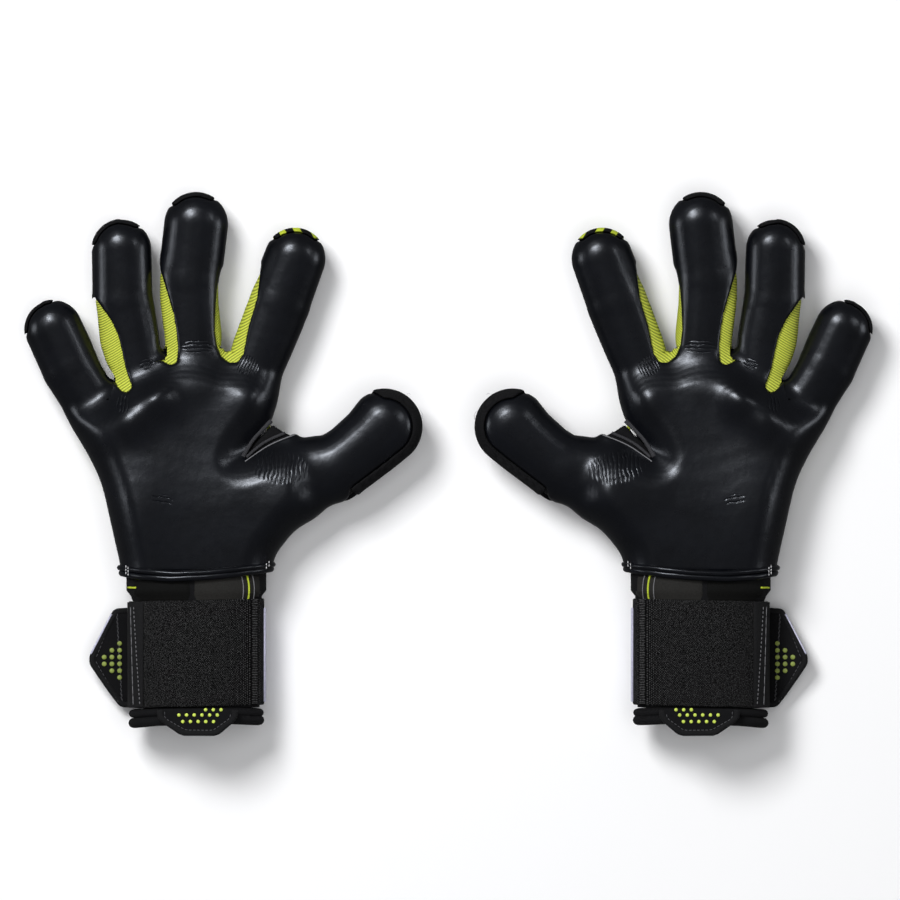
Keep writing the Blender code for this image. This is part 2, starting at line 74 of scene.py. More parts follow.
# The grid that the hand's field is sampled on.
CELL = 1.2
GRID_LOW = (-99.0, 6.0, -1.5)
GRID_HIGH = (126.0, 222.0, 50.0)

# A digit's line in plan, the height of its middle and its half thickness. sides are its half-widths
# to the left and right of its line: distance past the knuckle, left, right. rim is the edge of its
# back panel that shows round its tip: heading and half-angle in degrees, and width.
Digit = namedtuple("Digit", "name knuckle middle tip z thick start sides rim")
DIGITS = (
    Digit(
        "index", (30, 121), (44.5, 158), (52.6, 181.8), 18.5, 13.0, 6.0,
        (
            (-20, 15, 15.5), (0, 19, 15), (7, 18.8, 15.5), (15, 18.2, 15.9), (32, 18.6, 16.4),
            (43, 18.4, 16.2), (54, 17, 16.3), (65, 16.4, 16.4),
        ),
        (88, 55, 2.2),
    ),
    Digit(
        "middle", (-1, 129), (-2.6, 170), (-0.2, 200.2), 18.5, 13.3, 6.0,
        (
            (-20, 13, 13), (0, 17.5, 17.6), (7, 20.8, 17.6), (17, 21.3, 16.8), (28, 20.8, 16.0),
            (44, 18.9, 16.0), (57, 17.6, 16.6), (71, 17.1, 17.1),
        ),
        (98, 48, 2.4),
    ),
    Digit(
        "ring", (-30.5, 119), (-38.5, 159.2), (-39.9, 186.8), 18.5, 13.0, 6.0,
        (
            (-20, 12, 12.5), (0, 16.4, 13.4), (10, 19.8, 15.6), (20, 20, 16.8), (33, 18.4, 16.5),
            (45, 17, 15.4), (69, 16.1, 15.7),
        ),
        (112, 66, 2.2),
    ),
    Digit(
        "little", (-52, 100), (-67, 123.4), (-76.6, 144), 18.5, 12.2, 3.0,
        ((-15, 14.5, 15), (0, 15, 15.6), (10, 15.7, 15.3), (28, 15.6, 15.8), (50, 15.3, 15.7)),
        (140, 55, 1.8),
    ),
    Digit(
        "thumb", (50, 62.2), (74, 69), (100.5, 92), 24.0, 14.6, 3.0,
        (
            (-20, 20, 21), (0, 22, 20.5), (11, 21.4, 18.8), (20, 20.2, 17.8), (27, 18.8, 17.6),
            (38, 17.3, 18.4), (50, 17.6, 19.2), (60, 19.5, 19.5),
        ),
        (20, 92, 4.4),
    ),
)
NEIGHBOURS = {
    "index": ("middle",),
    "middle": ("index", "ring"),
    "ring": ("middle", "little"),
    "little": ("ring",),
}
ROOT_REACH = 20.0  # how far a digit's capsule runs back into the palm
SQUARENESS = 2.4  # exponent of the digits' and the wrist's rounded-box cross-sections
FINGER_GAP = 0.3
WEB_BLEND = 7.0  # how softly a digit grows out of the palm,
BONE_BLEND = 0.6  # one part of a digit out of the next,
NEIGHBOUR_ROUND = 1.0  # and how round a digit is where its neighbour presses on it
DIGIT_MARGIN = 4  # room round a digit in its own part of the grid
FAR = 99
TIP_SPLIT = 0.50  # shares of the base's length: where the tip's piece starts,
BASE_BENT = 0.48  # where the base's bend is complete,
TIP_BEND = 0.58  # and where the tip's bend starts
TIP_BENT = 0.3  # share of the tip's length where that bend is complete
BASE_BEND_IN = 1.5  # how far past the start of the base its bend starts
OWN_REACH = 2.6  # what lies further off a digit than this belongs to the palm

PALM_OUTLINE = (
    (-39.4, -30), (40.6, -30), (40.6, 17), (42, 23.5), (47, 29.6), (54.4, 39.4), (66, 46), (64, 66),
    (58, 79), (46, 81), (35, 78.5), (25.2, 74.8), (30, 83.5), (36, 91), (40.6, 98), (43, 108), (42, 119),
    (30, 125), (15, 128.5), (0, 131), (-17, 132), (-28, 122), (-43.5, 116), (-54, 104), (-68, 99.5),
    (-64.8, 92), (-55.2, 74), (-49.4, 57.1), (-45, 37.1), (-40.4, 17),
)
# y, height of the middle, half-height
PALM_HEIGHTS = (
    (21, 24.4, 19.2), (40, 23.8, 19.4), (62, 23.0, 19.0), (86, 21.6, 18.0), (110, 20.2, 16.4),
    (126, 19.8, 14.2),
)
HEIGHT_SHIFTS = (-10, -5, 0, 5, 10)
PALM_EDGE = 17.0  # radius of the palm's padded sides
PALM_EDGE_BLUR = 3
# Swellings of the palm's padding: x, y, reach across, reach along, height
SWELLINGS = (
    (50, 50, 17, 20, 2.0), (-30, 48, 16, 26, 1.2), (4, 78, 24, 20, -0.7), (30, 108, 11, 10, 1.3),
    (-2, 114, 13, 9, 1.0), (-21, 107, 11, 11, 4.2), (-35, 95, 10, 10, 3.2), (-52, 88, 10, 10, 0.6),
)
HEEL_Y = 14.2

# Where the latex leaves the gussets open, in plan.
WEB_PANELS = {
    "ring_little": (
        (-54.7, 161.5), (-60, 150), (-58, 130), (-49.2, 122), (-45.5, 118), (-40.6, 112), (-36.8, 110.2),
        (-34.5, 113.3), (-36.6, 119), (-38.2, 124), (-39.8, 132.2), (-41.8, 140.4), (-45.5, 148.6),
        (-49.6, 154.3),
    ),
    "middle_ring": (
        (-20.5, 184), (-27, 172), (-27, 140), (-24, 130), (-18.5, 127.5), (-13.5, 125.2), (-10.4, 126.4),
        (-10.0, 135.4), (-10.9, 143.7), (-12.3, 151.9), (-14.4, 159.2), (-16.8, 167.4), (-19.3, 175.6),
    ),
    "index_middle": (
        (13.1, 175.5), (11.5, 168.3), (10.3, 154.3), (10.1, 142.8), (11.1, 135.4), (13.5, 129.7), (18, 126.2),
        (22.1, 126.8), (25, 131.3), (26.3, 137.9), (27.9, 146.1), (30.4, 154.3), (32.4, 160.9), (34.5, 179),
        (26, 182), (18, 182),
    ),
}
DIGIT_PANELS = {
    "index": ("index_middle",),
    "middle": ("middle_ring", "index_middle"),
    "ring": ("ring_little",),
}
NOTCH_PANEL = (
    (25.0, 74.3), (29.8, 83.2), (35.5, 90.3), (41, 96.5), (52, 97), (54, 89.0), (47, 86.2), (38, 82.3),
    (30, 77.0),
)
NOTCH_WEB = ((24, 73), (30, 84), (40.4, 95.2), (48, 90), (52, 87.5), (52, 76), (44, 72))
NOTCH_WEB_Z = 21.0
NOTCH_WEB_HALF = 9.0
NOTCH_WEB_ROUND = 3.0
PANEL_LOW_Z = 9.0  # a panel's opening stops here, at the back of the hand
LIME_UNDER_EDGE = 3.0  # how far the lime cloth runs on under the latex,
LIME_UNDER_BACK = 2.0  # and under the back

# The quilted knuckle pad on the back: outline, sewn channels, heights.
PAD_OUTLINE = (
    (-55, 80), (-44, 70), (-20, 66), (12, 66), (30, 72), (36, 92), (36, 108), (24, 116), (8, 115),
    (-2, 119), (-16, 113), (-28, 111), (-42, 102), (-56, 96),
)
PAD_CHANNELS = (
    ((-40, 66), (-45, 106)), ((-22, 62), (-24, 116)), ((-4, 62), (-9, 122)), ((14, 62), (15, 122)),
    ((-60, 88), (-20, 86), (38, 90)), ((-60, 74), (-20, 76), (38, 78)),
    ((-50, 101), (-20, 100), (38, 104)),
)
PAD_HEIGHT = 3.2
PAD_CHANNEL_DEPTH = 1.3
PAD_CHANNEL_WIDTH = 1.6
PAD_TOP_Z = 11.0
PAD_REST_Z = 0.3
PAD_SUNK = 0.1
PAD_ROUND = 0.5
PAD_TOP_ROUND = 1.5
PAD_EDGE_ROUND = 2.0
# The padded panels on a digit's back: height, inset from its edge, flex line past the knuckle.
BACK_PAD = 1.3
BACK_PAD_INSET = 5.0
BACK_PAD_RAMP = 4.0
BACK_FLEX_AT = 6.0
BACK_FLEX_HALF = 1.5
BACK_FLEX_RAMP = 3.0
BACK_TOP_Z = 12.0
BACK_TOP_RAMP = 5.0
# The hand's layers.
LATEX_THICK = 2.2
BACK_THICK = 2.0
FABRIC_INSET = 1.7
SHELL_ROUND = 0.8
LATEX_ROUND = 1.2
BACK_ROUND = 0.9
PANEL_ROUND = 1.0
HEEL_ROUND = 1.2
FABRIC_HEEL_ROUND = 0.6
CAVITY_WALL = 4.4
CAVITY_END_Y = 92.0
CAVITY_END_ROUND = 8.0
SEAM_Z = 14.0
SEAM_HALF_GAP = 0.12
# The side seam rises round the thumb: by how much, from which x, to which y.
THUMB_SEAM_RISE = 5.0
THUMB_SEAM_X = 46
THUMB_SEAM_X_RAMP = 22
THUMB_SEAM_Y = 118
THUMB_SEAM_Y_RAMP = 8
RIM_ROUND = 1.5
RIM_RISE = 0.2
THUMB_RIM_RISE = 0.7
RIM_TAPER = 2.5  # how fast a tip's rim gets its full width from its ends
NO_RIM = -20.0
LAYER_SLOTS = {"latex": "latex", "back": "black_fabric", "fabric": "black_fabric", "lime": "lime_mesh"}
REPLACED = {
    ("latex", "palm"): ("palm_latex",),
    ("back", "palm"): ("backhand",),
    ("fabric", "palm"): ("palm_lining", "thumb_gusset"),
    ("lime", "palm"): ("index_middle_gusset", "middle_ring_gusset", "ring_little_gusset"),
}

# Pieces round the wrist.
CUFF_Z = 23.6
CUFF_HALF_WIDTH = 33.8
CUFF_HALF_HEIGHT = 18.8
CUFF_FLARE = 3.6
FLARE_START_Y = -0.5
FLARE_LENGTH = 5.0
FLARE_UP = 0.3  # the flare's share that goes up
WRAP_STEP = 4.0  # degrees from one point to the next round the wrist
ROLL_STEP = 3.0
SMOOTHINGS = 3
FULL_TURN = (0, 360)
SLEEVE_THICK = 3.0
SLEEVE_ROWS = (-58.0, -57.4, -30.0, -2.0, 1.5, 4.5, 7.5, 10.5, 13.5, 17.0)
STRAP_TOP_Y = -0.6
STRAP_BOTTOM_Y = -57.4
STRAP_GAP = 0.3
STRAP_THICK = 2.2
STRAP_FACE = STRAP_GAP + STRAP_THICK
STRAP_TILT = 0.022
# Strips round the wrist: name, material, arc, profile as (low y, high y, inner, outer, radius), tilt, node.
STRAP = (
    "wrist_strap_elastic", "elastic", (-92, 178),
    (STRAP_BOTTOM_Y, STRAP_TOP_Y, STRAP_GAP, STRAP_FACE, 0.9), STRAP_TILT, "wrist_strap",
)
STRAP_STRIPS = (
    (
        "strap_anchor_patch", "binding", (137, 178),
        (STRAP_BOTTOM_Y + 0.4, STRAP_TOP_Y - 0.4, STRAP_FACE + 0.02, STRAP_FACE + 0.6, 0.28),
        STRAP_TILT, "strap_anchor",
    ),
    (
        "strap_edge_piping", "lavender_trim", (-34, 8),
        (STRAP_BOTTOM_Y + 1.5, STRAP_TOP_Y - 5.0, STRAP_FACE, STRAP_FACE + 1.0, 0.5),
        STRAP_TILT, "strap_edge_trim",
    ),
    ("loop_tape", "hook_tape", (-128, -97), (-54.0, -9.0, STRAP_GAP, 1.1, 0.3), 0.0, "loop_patch"),
)
# Seams down the strap's anchor: turn round the wrist at the bottom and the top, stitch length, gap, radius.
STRAP_SEAMS = ((153.0, 160.0, 5.0, 0.25, 0.22), (141.0, 152.5, 1.2, 1.1, 0.24))
SEAM_OFF = STRAP_FACE + 0.62
SEAM_IN = (1.5, 1.0)
SEAM_STEP = 1.0
# Rolled edges round the wrist: distance off the sleeve, radii off and along it, arc, (x, y) of the roll.
HEEL_ROLLS = (
    (
        3.4, (1.7, 1.5), (3, 177),
        ((-40, 16.6), (-25, 14.6), (-12, 13.6), (5, 14.2), (20, 15.8), (41, 18.4)),
    ),
    (
        2.2, (2.0, 1.9), (-2, 182),
        ((-40, 13.9), (-30, 12.0), (-14, 10.9), (5, 11.8), (20, 13.2), (41, 16.2)),
    ),
)
HEM_ROLLS = (
    (-0.3, (2.6, 2.3), FULL_TURN, ((-37, -61.6), (-20, -60.6), (0, -60.4), (20, -60.2), (36, -61.0))),
    (-0.2, (2.7, 2.7), FULL_TURN, ((-37, -66.8), (-20, -65.0), (0, -64.8), (16, -64.0), (36, -65.0))),
)
WRIST_ROLLS = (
    ("heel_binding", "latex", HEEL_ROLLS),
    ("cuff_hem", "black_fabric", HEM_ROLLS),
)
# Stitches where the heel's rolls end: x, and y from and to.
HEEL_STITCHES = ((-37.4, 13.0, 18.6), (-36.2, 12.2, 17.6), (37.6, 15.8, 20.6), (39.0, 17.0, 20.8))
HEEL_STITCH_OFF = 5.0
HEEL_STITCH = (1.1, 0.6, 0.22)

# The sleeve's fabric between the strap and the heel: lines of piping, and two soft swells.
# Lines: name, x, half-width, material. Swells: name, x from and to.
SLEEVE_LINES = (
    ("lime_line", 28.4, 0.5, "lime_fabric"),
    ("grey_line_inner", 25.4, 0.28, "grey_fabric"),
    ("grey_line_outer", 31.2, 0.28, "grey_fabric"),
)
LINE_HALF_HEIGHT = 0.35
LINE_OFF = 1.15
LINE_BOW = 0.02
LINE_MIDDLE_Y = 5
LINE_Y = (-1.5, 13.0)
# The swells are the same cloth, painted darker on the left as painted shade and lighter on the right as
# painted sheen.
SWELLS = (("left", -34.0, -2.6), ("right", -1.4, 35.0))
SWELL_Y = (-2.5, 13.0)
SWELL_RISE = 1.3
SWELL_SUNK = 0.3
SWELL_UNDER = -0.6
SWELL_POWER = 0.35
DASH_X = (-36.5, -32)
DASH_Y = 6.0
DASH_OFF = 0.6
DASH_RADII = (0.5, 0.35)

# The strap's free end behind the wrist.
TAIL_THICK = 1.8
TAIL_LEAVES_X = -20.0
TAIL_SLOPE = 15.0
TAIL_ROOM = 4.8
TAIL_OUTLINE = (
    (-57.5, -34.4), (-56.2, -37.0), (-41.5, -57.2), (-39.0, -58.6), (-2.0, -58.6), (-2.0, -4.9),
    (-42.0, -4.9), (-44.6, -6.4), (-56.4, -28.6), (-57.5, -31.0),
)
TAIL_BINDING = (1.6, 1.15)
TAIL_BINDING_LIFT = -0.5
# A pale line along the tail's upper-left edge is a painted highlight, where that edge catches the light.
TAIL_HIGHLIGHT_EDGE = ((-56.6, -29.6), (-45.6, -8.2))
TAIL_HIGHLIGHT_RADII = (0.45, 0.4)
TAIL_HIGHLIGHT_LIFT = 0.1
TAIL_SEEN_X = -38  # the stitches run only past this x
TAIL_SEAMS = (("outer", 2.2), ("inner", 3.6))
TAIL_SEAM_LIFT = 0.32
TAIL_STITCH = (1.5, 0.9, 0.2)
TAIL_DOTS = (6, 4, 2)
TAIL_DOTS_FROM = (-41.3, -33.2)
TAIL_DOT_PITCH = (-4.1, 3.65)
TAIL_DOT = (1.3, 0.5)
TAIL_DOT_LIFT = 0.3
HOOK_OUTLINE = ((-19, -54), (-6, -54), (-6, -9), (-19, -9))
HOOK_THICK = 0.8
HOOK_LIFT = 1.0

# The pull tab below the strap.
TAB_TOP_Y = -58.6
TAB_Z = 45.8
TAB_THICK = 1.8
TAB_SLOPE = 0.05
TAB_OUTLINE = (
    (-20, TAB_TOP_Y), (-20, -62.4), (-18.8, -64.0), (-9.4, -71.0), (-7.0, -72.0), (10.8, -72.0),
    (13.2, -71.0), (21.0, -63.8), (22, -62.0), (22, TAB_TOP_Y),
)
TAB_BINDING = (1.75, 1.3)
TAB_BINDING_IN = 1.3
TAB_BINDING_LIFT = -0.6
TAB_SEAM_IN = 3.6
TAB_SEAM_LIFT = 0.2
TAB_STITCH = (1.4, 0.8, 0.2)
TAB_DOT_ROWS = ((3, 9.4, -59.0), (6, 1.3, -61.8), (5, 1.3, -65.3))  # how many, middle x, y
TAB_DOT_PITCH = 4.1
TAB_DOT = (0.95, 0.55)

# Rolled edges in the notch between thumb and index finger: name, plan path, radii, lift, material.
NOTCH_EDGES = (
    (
        "notch_binding", ((40.2, 95.2), (36.0, 91.2), (31.0, 86.2), (27.6, 81.0), (25.0, 76.0)),
        (1.25, 1.1), -0.5, "notch_piping",
    ),
    (
        "notch_fold", ((47.5, 88.6), (41.0, 86.0), (35.0, 82.8), (30.0, 78.6), (27.0, 75.6)),
        (0.8, 0.8), -0.9, "notch_piping",
    ),
    (
        "notch_thread", ((52.5, 87.6), (45.0, 84.9), (37.5, 81.4), (31.0, 76.8), (26.2, 73.4)),
        (0.32, 0.3), -0.05, "grey_thread",
    ),
)
# Lime piping on the back of the hand, in plan.
BACK_PIPING = (
    ((-30, 20), (-36, 45), (-48, 66), (-58, 84), (-61, 98)),
    ((26, 20), (32, 40), (33, 58), (37, 76), (39, 98), (38, 112)),
    ((-24, 60), (-4, 56), (18, 60)),
)
BACK_PIPING_RADII = (0.9, 0.7)
BACK_PIPING_LIFT = 0.1
# Loose ends of white thread that stick out past the thumb's rim.
THREAD_ENDS = (
    ((117.6, 101.5, 25), (119.6, 100.6, 26), (121.3, 98.4, 27), (120.6, 96.2, 26)),
    ((119.2, 99.0, 26), (121.2, 97.2, 27), (120.0, 94.6, 25)),
    ((112.6, 109.4, 26), (113.6, 110.0, 26.5), (114.4, 109.2, 26)),
)
THREAD_RADII = (0.16, 0.16)

# The material slot of each look.
SLOTS = {
    "latex": "latex",
    "back_rubber": "latex",
    "elastic": "elastic",
    "hook_tape": "hook_tape",
    "lime_fabric": "lime_mesh",
    "lime_dots": "lime_rubber",
    "lime_dots_dull": "lime_rubber",
    "lavender_trim": "white_rubber",
    "white_thread": "white_rubber",
    **dict.fromkeys(
        (
            "black_fabric", "binding", "notch_piping", "grey_fabric", "grey_thread", "dark_thread",
            "gauntlet_left", "gauntlet_right",
        ),
        "black_fabric",
    ),
}
LATEX_COLOUR = (0.0026, 0.0030, 0.0044)
LATEX_GLOSS = (0.06, 0.255)  # how much the roughness changes, and its least
LATEX_BUMP = (0.4, 0.11)
# Noises as (scale per mm, detail, roughness)
LATEX_TONE_NOISE = (0.06, 3.0)
LATEX_GLOSS_NOISE = (0.25, 3.0)
LATEX_GRAIN_NOISE = (2.2, 4.0, 0.6)
LATEX_FOLD_NOISE = (0.22, 2.0)
LATEX_GRAIN = 0.35
LATEX_FOLDS = 2.0
CREASE_DEPTH = 7.0
CREASE_NOISE = (0.14, 2.0)
CREASE_WOBBLE = 1.6
CREASE_SHARPNESS = 3.0
CREASE_FADE = (0.35, 1.1, 1.0, 0.0)
# Patches of fine creases in the palm's latex: centre, turn of the lines, pitch, reach along and across.
CREASES = (
    ((0.4, 134.7), 0, 1.9, 8.5, 4.2), ((27.5, 124.5), 62, 1.6, 5.5, 6.5), ((-26.5, 125.5), 20, 1.6, 4, 3),
    ((-39, 104), 80, 1.7, 5, 4), ((45, 70), 84, 2.3, 9, 16), ((-18, 53), -12, 2.2, 6, 3),
)
LIME_PITCH = 1.45
LIME_SLANT = -0.7
LIME_RISE = 0.25
LIME_NOISE = (1.6, 2.0)
LIME_RIB = 0.8
LIME_GRIT = 0.3
LIME_STOPS = ((0.2, (0.22, 0.25, 0.02)), (0.5, (0.46, 0.52, 0.045)), (0.9, (0.60, 0.66, 0.07)))
LIME_BUMP = (0.7, 0.5)
CLOTH_NOISE = (1.4, 3.0)
CLOTH_BLACK = (0.006, 0.006, 0.0065)
STRIPE_PITCH = 8.5
STRIPE_SLANT = 0.6
STRIPE_FROM = (0.12, -23.0)  # the stripes' share rises along y from here
STRIPE_STOPS = ((0.54, CLOTH_BLACK), (0.60, (0.42, 0.50, 0.04)))
STRIPE_BUMP = (0.5, 0.2)
WEAVE_THREADS = 0.6
WEAVE_GRIT = 0.5
WEAVE_BUMP = 0.6
# Cloths: name, colour, roughness, pitch, depth, brightness of specks, how much lighter the threads are.
WEAVES = (
    ("black_fabric", CLOTH_BLACK, 0.8, 0.9, 0.2, 0.0, 1.6),
    ("binding", (0.009, 0.009, 0.0095), 0.75, 0.7, 0.2, 0.0, 1.6),
    # The two gauntlet cloths are one sleeve cloth in two tones: painted shade on the left swell, painted
    # sheen on the right swell.
    ("gauntlet_left", (0.004, 0.004, 0.0038), 0.6, 0.6, 0.1, 0.0, 1.6),
    ("gauntlet_right", (0.016, 0.0155, 0.0145), 0.6, 0.6, 0.1, 0.0, 1.6),
    ("back_rubber", (0.012, 0.012, 0.014), 0.5, 1.6, 0.3, 0.0, 1.6),
    ("notch_piping", (0.03, 0.03, 0.033), 0.6, 0.7, 0.12, 0.0, 1.6),
    ("elastic", (0.0012, 0.0012, 0.0012), 0.85, 0.9, 0.35, 0.12, 1.6),
    ("lime_fabric", (0.42, 0.50, 0.04), 0.75, 0.8, 0.15, 0.0, 1.3),
    ("grey_fabric", (0.16, 0.16, 0.17), 0.8, 0.8, 0.15, 0.0, 1.3),
    ("hook_tape", (0.02, 0.02, 0.02), 0.9, 1.2, 0.5, 0.0, 1.6),
)
RUBBER_NOISE = (0.9, 3.0)
RUBBER_BUMP = (0.3, 0.15)
# Printed rubber and thread: name, colour, roughness.
RUBBERS = (
    # The lavender colour is the strap's real edge trim, and also the painted highlight on the tail's
    # upper-left edge.
    ("lavender_trim", (0.52, 0.52, 0.66), 0.5),
    ("lime_dots", (0.60, 0.74, 0.10), 0.5),
    ("lime_dots_dull", (0.24, 0.30, 0.06), 0.55),
    ("dark_thread", (0.07, 0.07, 0.075), 0.6),
    ("grey_thread", (0.16, 0.16, 0.17), 0.6),
    ("white_thread", (0.7, 0.7, 0.72), 0.6),
)
MATERIALS = {}

# Camera and light.
VIEW_WIDTH = 0.4824
CAMERA_HEIGHT = 9.0
VIEW_CENTRE = (0.0008, 0.0071)
SENSOR = 36.0
CLIP_END = 40.0
FLOOR_SIZE = 6.0
FLOOR_DROP = 0.0003
FLOOR_STOPS = ((0.0, (0.92, 0.92, 0.93)), (1.0, (0.94, 0.94, 0.95)))
FLOOR_ROUGHNESS = 0.9
WORLD_COLOUR = (0.95, 0.97, 1.0, 1.0)
WORLD_STRENGTH = 0.1
# Lights: place, size, power, and whether only reflections see them.
LIGHTS = (
    ("key", (-0.8, 1.0, 1.9), 0.8, 44.0, False),
    ("sky", (0.2, -0.3, 2.6), 2.2, 32.0, False),
    ("gloss_left", (-0.75, 1.38, 2.2), 0.5, 50.0, True),
    ("gloss_right", (1.6, 1.0, 1.9), 0.5, 6.0, True),
    ("edge_left", (-2.2, 0.2, 0.9), 0.7, 9.0, True),
    ("edge_right", (2.2, 0.2, 0.9), 0.7, 9.0, True),
)
LIGHT_TINT = (0.86, 0.91, 1.0)


def smin(a, b, soft):
    """The smaller of two fields, with their join rounded over a length."""
    share = np.clip(0.5 + 0.5 * (b - a) / soft, 0, 1)
    return b + (a - b) * share - soft * share * (1 - share)


def smax(a, b, soft):
    return -smin(-a, -b, soft)


def ease(value):
    """A smooth step from 0 to 1."""
    value = np.clip(value, 0, 1)
    return value * value * (3 - 2 * value)


def segment_distance(x, y, a, b):
    """Distance in plan from points to a segment."""
    dx, dy = b[0] - a[0], b[1] - a[1]
    share = np.clip(((x - a[0]) * dx + (y - a[1]) * dy) / (dx * dx + dy * dy), 0, 1)
    return np.hypot(x - a[0] - dx * share, y - a[1] - dy * share)


def path_distance(x, y, path):
    return np.minimum.reduce([segment_distance(x, y, a, b) for a, b in zip(path, path[1:])])


def outline_distance(x, y, outline):
    """Signed distance in plan to a closed outline, negative inside."""
    distance = path_distance(x, y, outline + outline[:1])
    inside = np.zeros(np.shape(x), bool)
    for a, b in zip(outline, outline[1:] + outline[:1]):
        if a[1] == b[1]:
            continue
        crosses = (a[1] > y) != (b[1] > y)
        inside ^= crosses & (x < a[0] + (b[0] - a[0]) * (y - a[1]) / (b[1] - a[1]))
    return np.where(inside, -distance, distance)


def blurred(field, reach):
    """A plan field smoothed over a reach given in cells."""
    steps = np.arange(-3 * reach, 3 * reach + 1)
    weights = np.exp(-0.5 * (steps / reach) ** 2)
    weights /= weights.sum()
    for axis in (0, 1):
        padded = np.pad(field, [(3 * reach, 3 * reach) if a == axis else (0, 0) for a in (0, 1)], mode="edge")
        field = np.apply_along_axis(lambda row: np.convolve(row, weights, "valid"), axis, padded)
    return field


class Grid:
    """The regular grid that fields are sampled on."""

    def __init__(self, low, high):
        self.low = np.array(low)
        counts = [int(round((h - l) / CELL)) + 1 for l, h in zip(low, high)]
        self.axes = [l + CELL * np.arange(n) for l, n in zip(low, counts)]

    def part(self, low, high):
        """The same grid cut down to a box."""
        made = Grid.__new__(Grid)
        made.axes = [a[(a >= l) & (a <= h)] for a, l, h in zip(self.axes, low, high)]
        made.low = np.array([a[0] for a in made.axes])
        return made

    def plan(self):
        return np.meshgrid(self.axes[0], self.axes[1], indexing="ij")

    def points(self):
        x, y, z = self.axes
        return x[:, None, None], y[None, :, None], z[None, None, :]


CORNERS = [(i, j, k) for i in (0, 1) for j in (0, 1) for k in (0, 1)]
EDGES = [
    (a, b) for a in range(8) for b in range(a + 1, 8)
    if sum(p != q for p, q in zip(CORNERS[a], CORNERS[b])) == 1
]


def surface_net(grid, field):
    """(points, quads, normals) of the surface where a field crosses zero, with faces outwards."""
    cells = tuple(n - 1 for n in field.shape)
    inside = field < 0
    count = np.zeros(cells, np.int8)
    for i, j, k in CORNERS:
        count += inside[i:i + cells[0], j:j + cells[1], k:k + cells[2]]
    active = np.argwhere((count > 0) & (count < 8))
    values = np.stack([field[tuple((active + corner).T)] for corner in CORNERS], 1)
    total = np.zeros((len(active), 3))
    hits = np.zeros(len(active))
    for a, b in EDGES:
        crosses = (values[:, a] < 0) != (values[:, b] < 0)
        gap = np.where(crosses, values[:, a] - values[:, b], 1.0)
        share = (values[:, a] / gap)[:, None]
        at = np.array(CORNERS[a]) + share * (np.array(CORNERS[b]) - np.array(CORNERS[a]))
        total += np.where(crosses[:, None], at, 0)
        hits += crosses
    inner = total / hits[:, None]
    points = grid.low + CELL * (active + inner)
    number = np.full(cells, -1, np.int32)
    number[tuple(active.T)] = np.arange(len(active))
    quads = []
    for axis in range(3):
        first, second = [(1, 2), (2, 0), (0, 1)][axis]
        low = [slice(None)] * 3
        high = [slice(None)] * 3
        low[axis], high[axis] = slice(0, -1), slice(1, None)
        starts, ends = inside[tuple(low)], inside[tuple(high)]
        for leaves in (True, False):
            found = np.argwhere((starts != ends) & (starts == leaves))
            keep = np.all((found[:, [first, second]] > 0), 1)
            keep &= found[:, first] < cells[first]
            keep &= found[:, second] < cells[second]
            found = found[keep]
            ring = []
            for back_first, back_second in ((1, 1), (0, 1), (0, 0), (1, 0)):
                cell = found.copy()
                cell[:, first] -= back_first
                cell[:, second] -= back_second
                ring.append(number[tuple(cell.T)])
            quads.append(np.stack(ring if leaves else ring[::-1], 1))
    normals = sampled_normals(grid, field, points)
    return points, np.concatenate(quads), normals


def sampled_normals(grid, field, points):
    """Unit gradients of a field at points."""
    place = np.clip((points - grid.low) / CELL, 0, np.array(field.shape) - 1.001)
    cell = place.astype(int)
    share = place - cell
    made = np.zeros(points.shape)
    for axis, slope in enumerate(np.gradient(field)):
        for corner in CORNERS:
            weight = np.prod(np.where(corner, share, 1 - share), 1)
            made[:, axis] += weight * slope[tuple((cell + corner).T)]
    return made / np.maximum(np.linalg.norm(made, axis=1), 1e-6)[:, None]


def unit(vector):
    return vector / np.linalg.norm(vector)


def along_digit(digit, x, y):
    """How far along the digit's line plan points lie, from its knuckle on."""
    k, m, t = (np.array(p, float) for p in (digit.knuckle, digit.middle, digit.tip))
    ahead, on = unit(m - k), unit(t - m)
    first = (x - k[0]) * ahead[0] + (y - k[1]) * ahead[1]
    second = (x - m[0]) * on[0] + (y - m[1]) * on[1]
    return np.minimum(first, np.linalg.norm(m - k)) + np.maximum(second, 0)


def digit_field(digit, x, y, z):
    """The digit as tapered rounded boxes. Returns its field, and the digit's edge in plan."""
    knuckle, middle, tip = (np.array(p, float) for p in (digit.knuckle, digit.middle, digit.tip))
    root = knuckle - unit(middle - knuckle) * ROOT_REACH
    length = np.linalg.norm(middle - knuckle)
    at, left, right = np.array(digit.sides, float).T
    solid = edge = None
    for a, b, passed in ((root, knuckle, -ROOT_REACH), (knuckle, middle, 0.0), (middle, tip, length)):
        ahead, reach = unit(b - a), np.linalg.norm(b - a)
        along = np.clip((x - a[0]) * ahead[0] + (y - a[1]) * ahead[1], 0, reach)
        off_x, off_y = x - a[0] - ahead[0] * along, y - a[1] - ahead[1] * along
        is_left = ahead[0] * off_y - ahead[1] * off_x > 0
        half = np.where(is_left, np.interp(along + passed, at, left), np.interp(along + passed, at, right))
        planar = np.hypot(off_x, off_y)
        width = (planar / half) ** SQUARENESS
        height = (np.abs(z - digit.z) / digit.thick) ** SQUARENESS
        part = ((width + height) ** (1 / SQUARENESS) - 1) * digit.thick
        solid = part if solid is None else smin(solid, part, BONE_BLEND)
        edge = planar - half if edge is None else np.minimum(edge, planar - half)
    return solid, edge


def palm_heights(y):
    """Height of the palm's middle and its half-height, smoothed along y."""
    at, middle, half = np.array(PALM_HEIGHTS).T
    steps = [y + shift for shift in HEIGHT_SHIFTS]
    return (np.mean([np.interp(step, at, column) for step in steps], axis=0) for column in (middle, half))


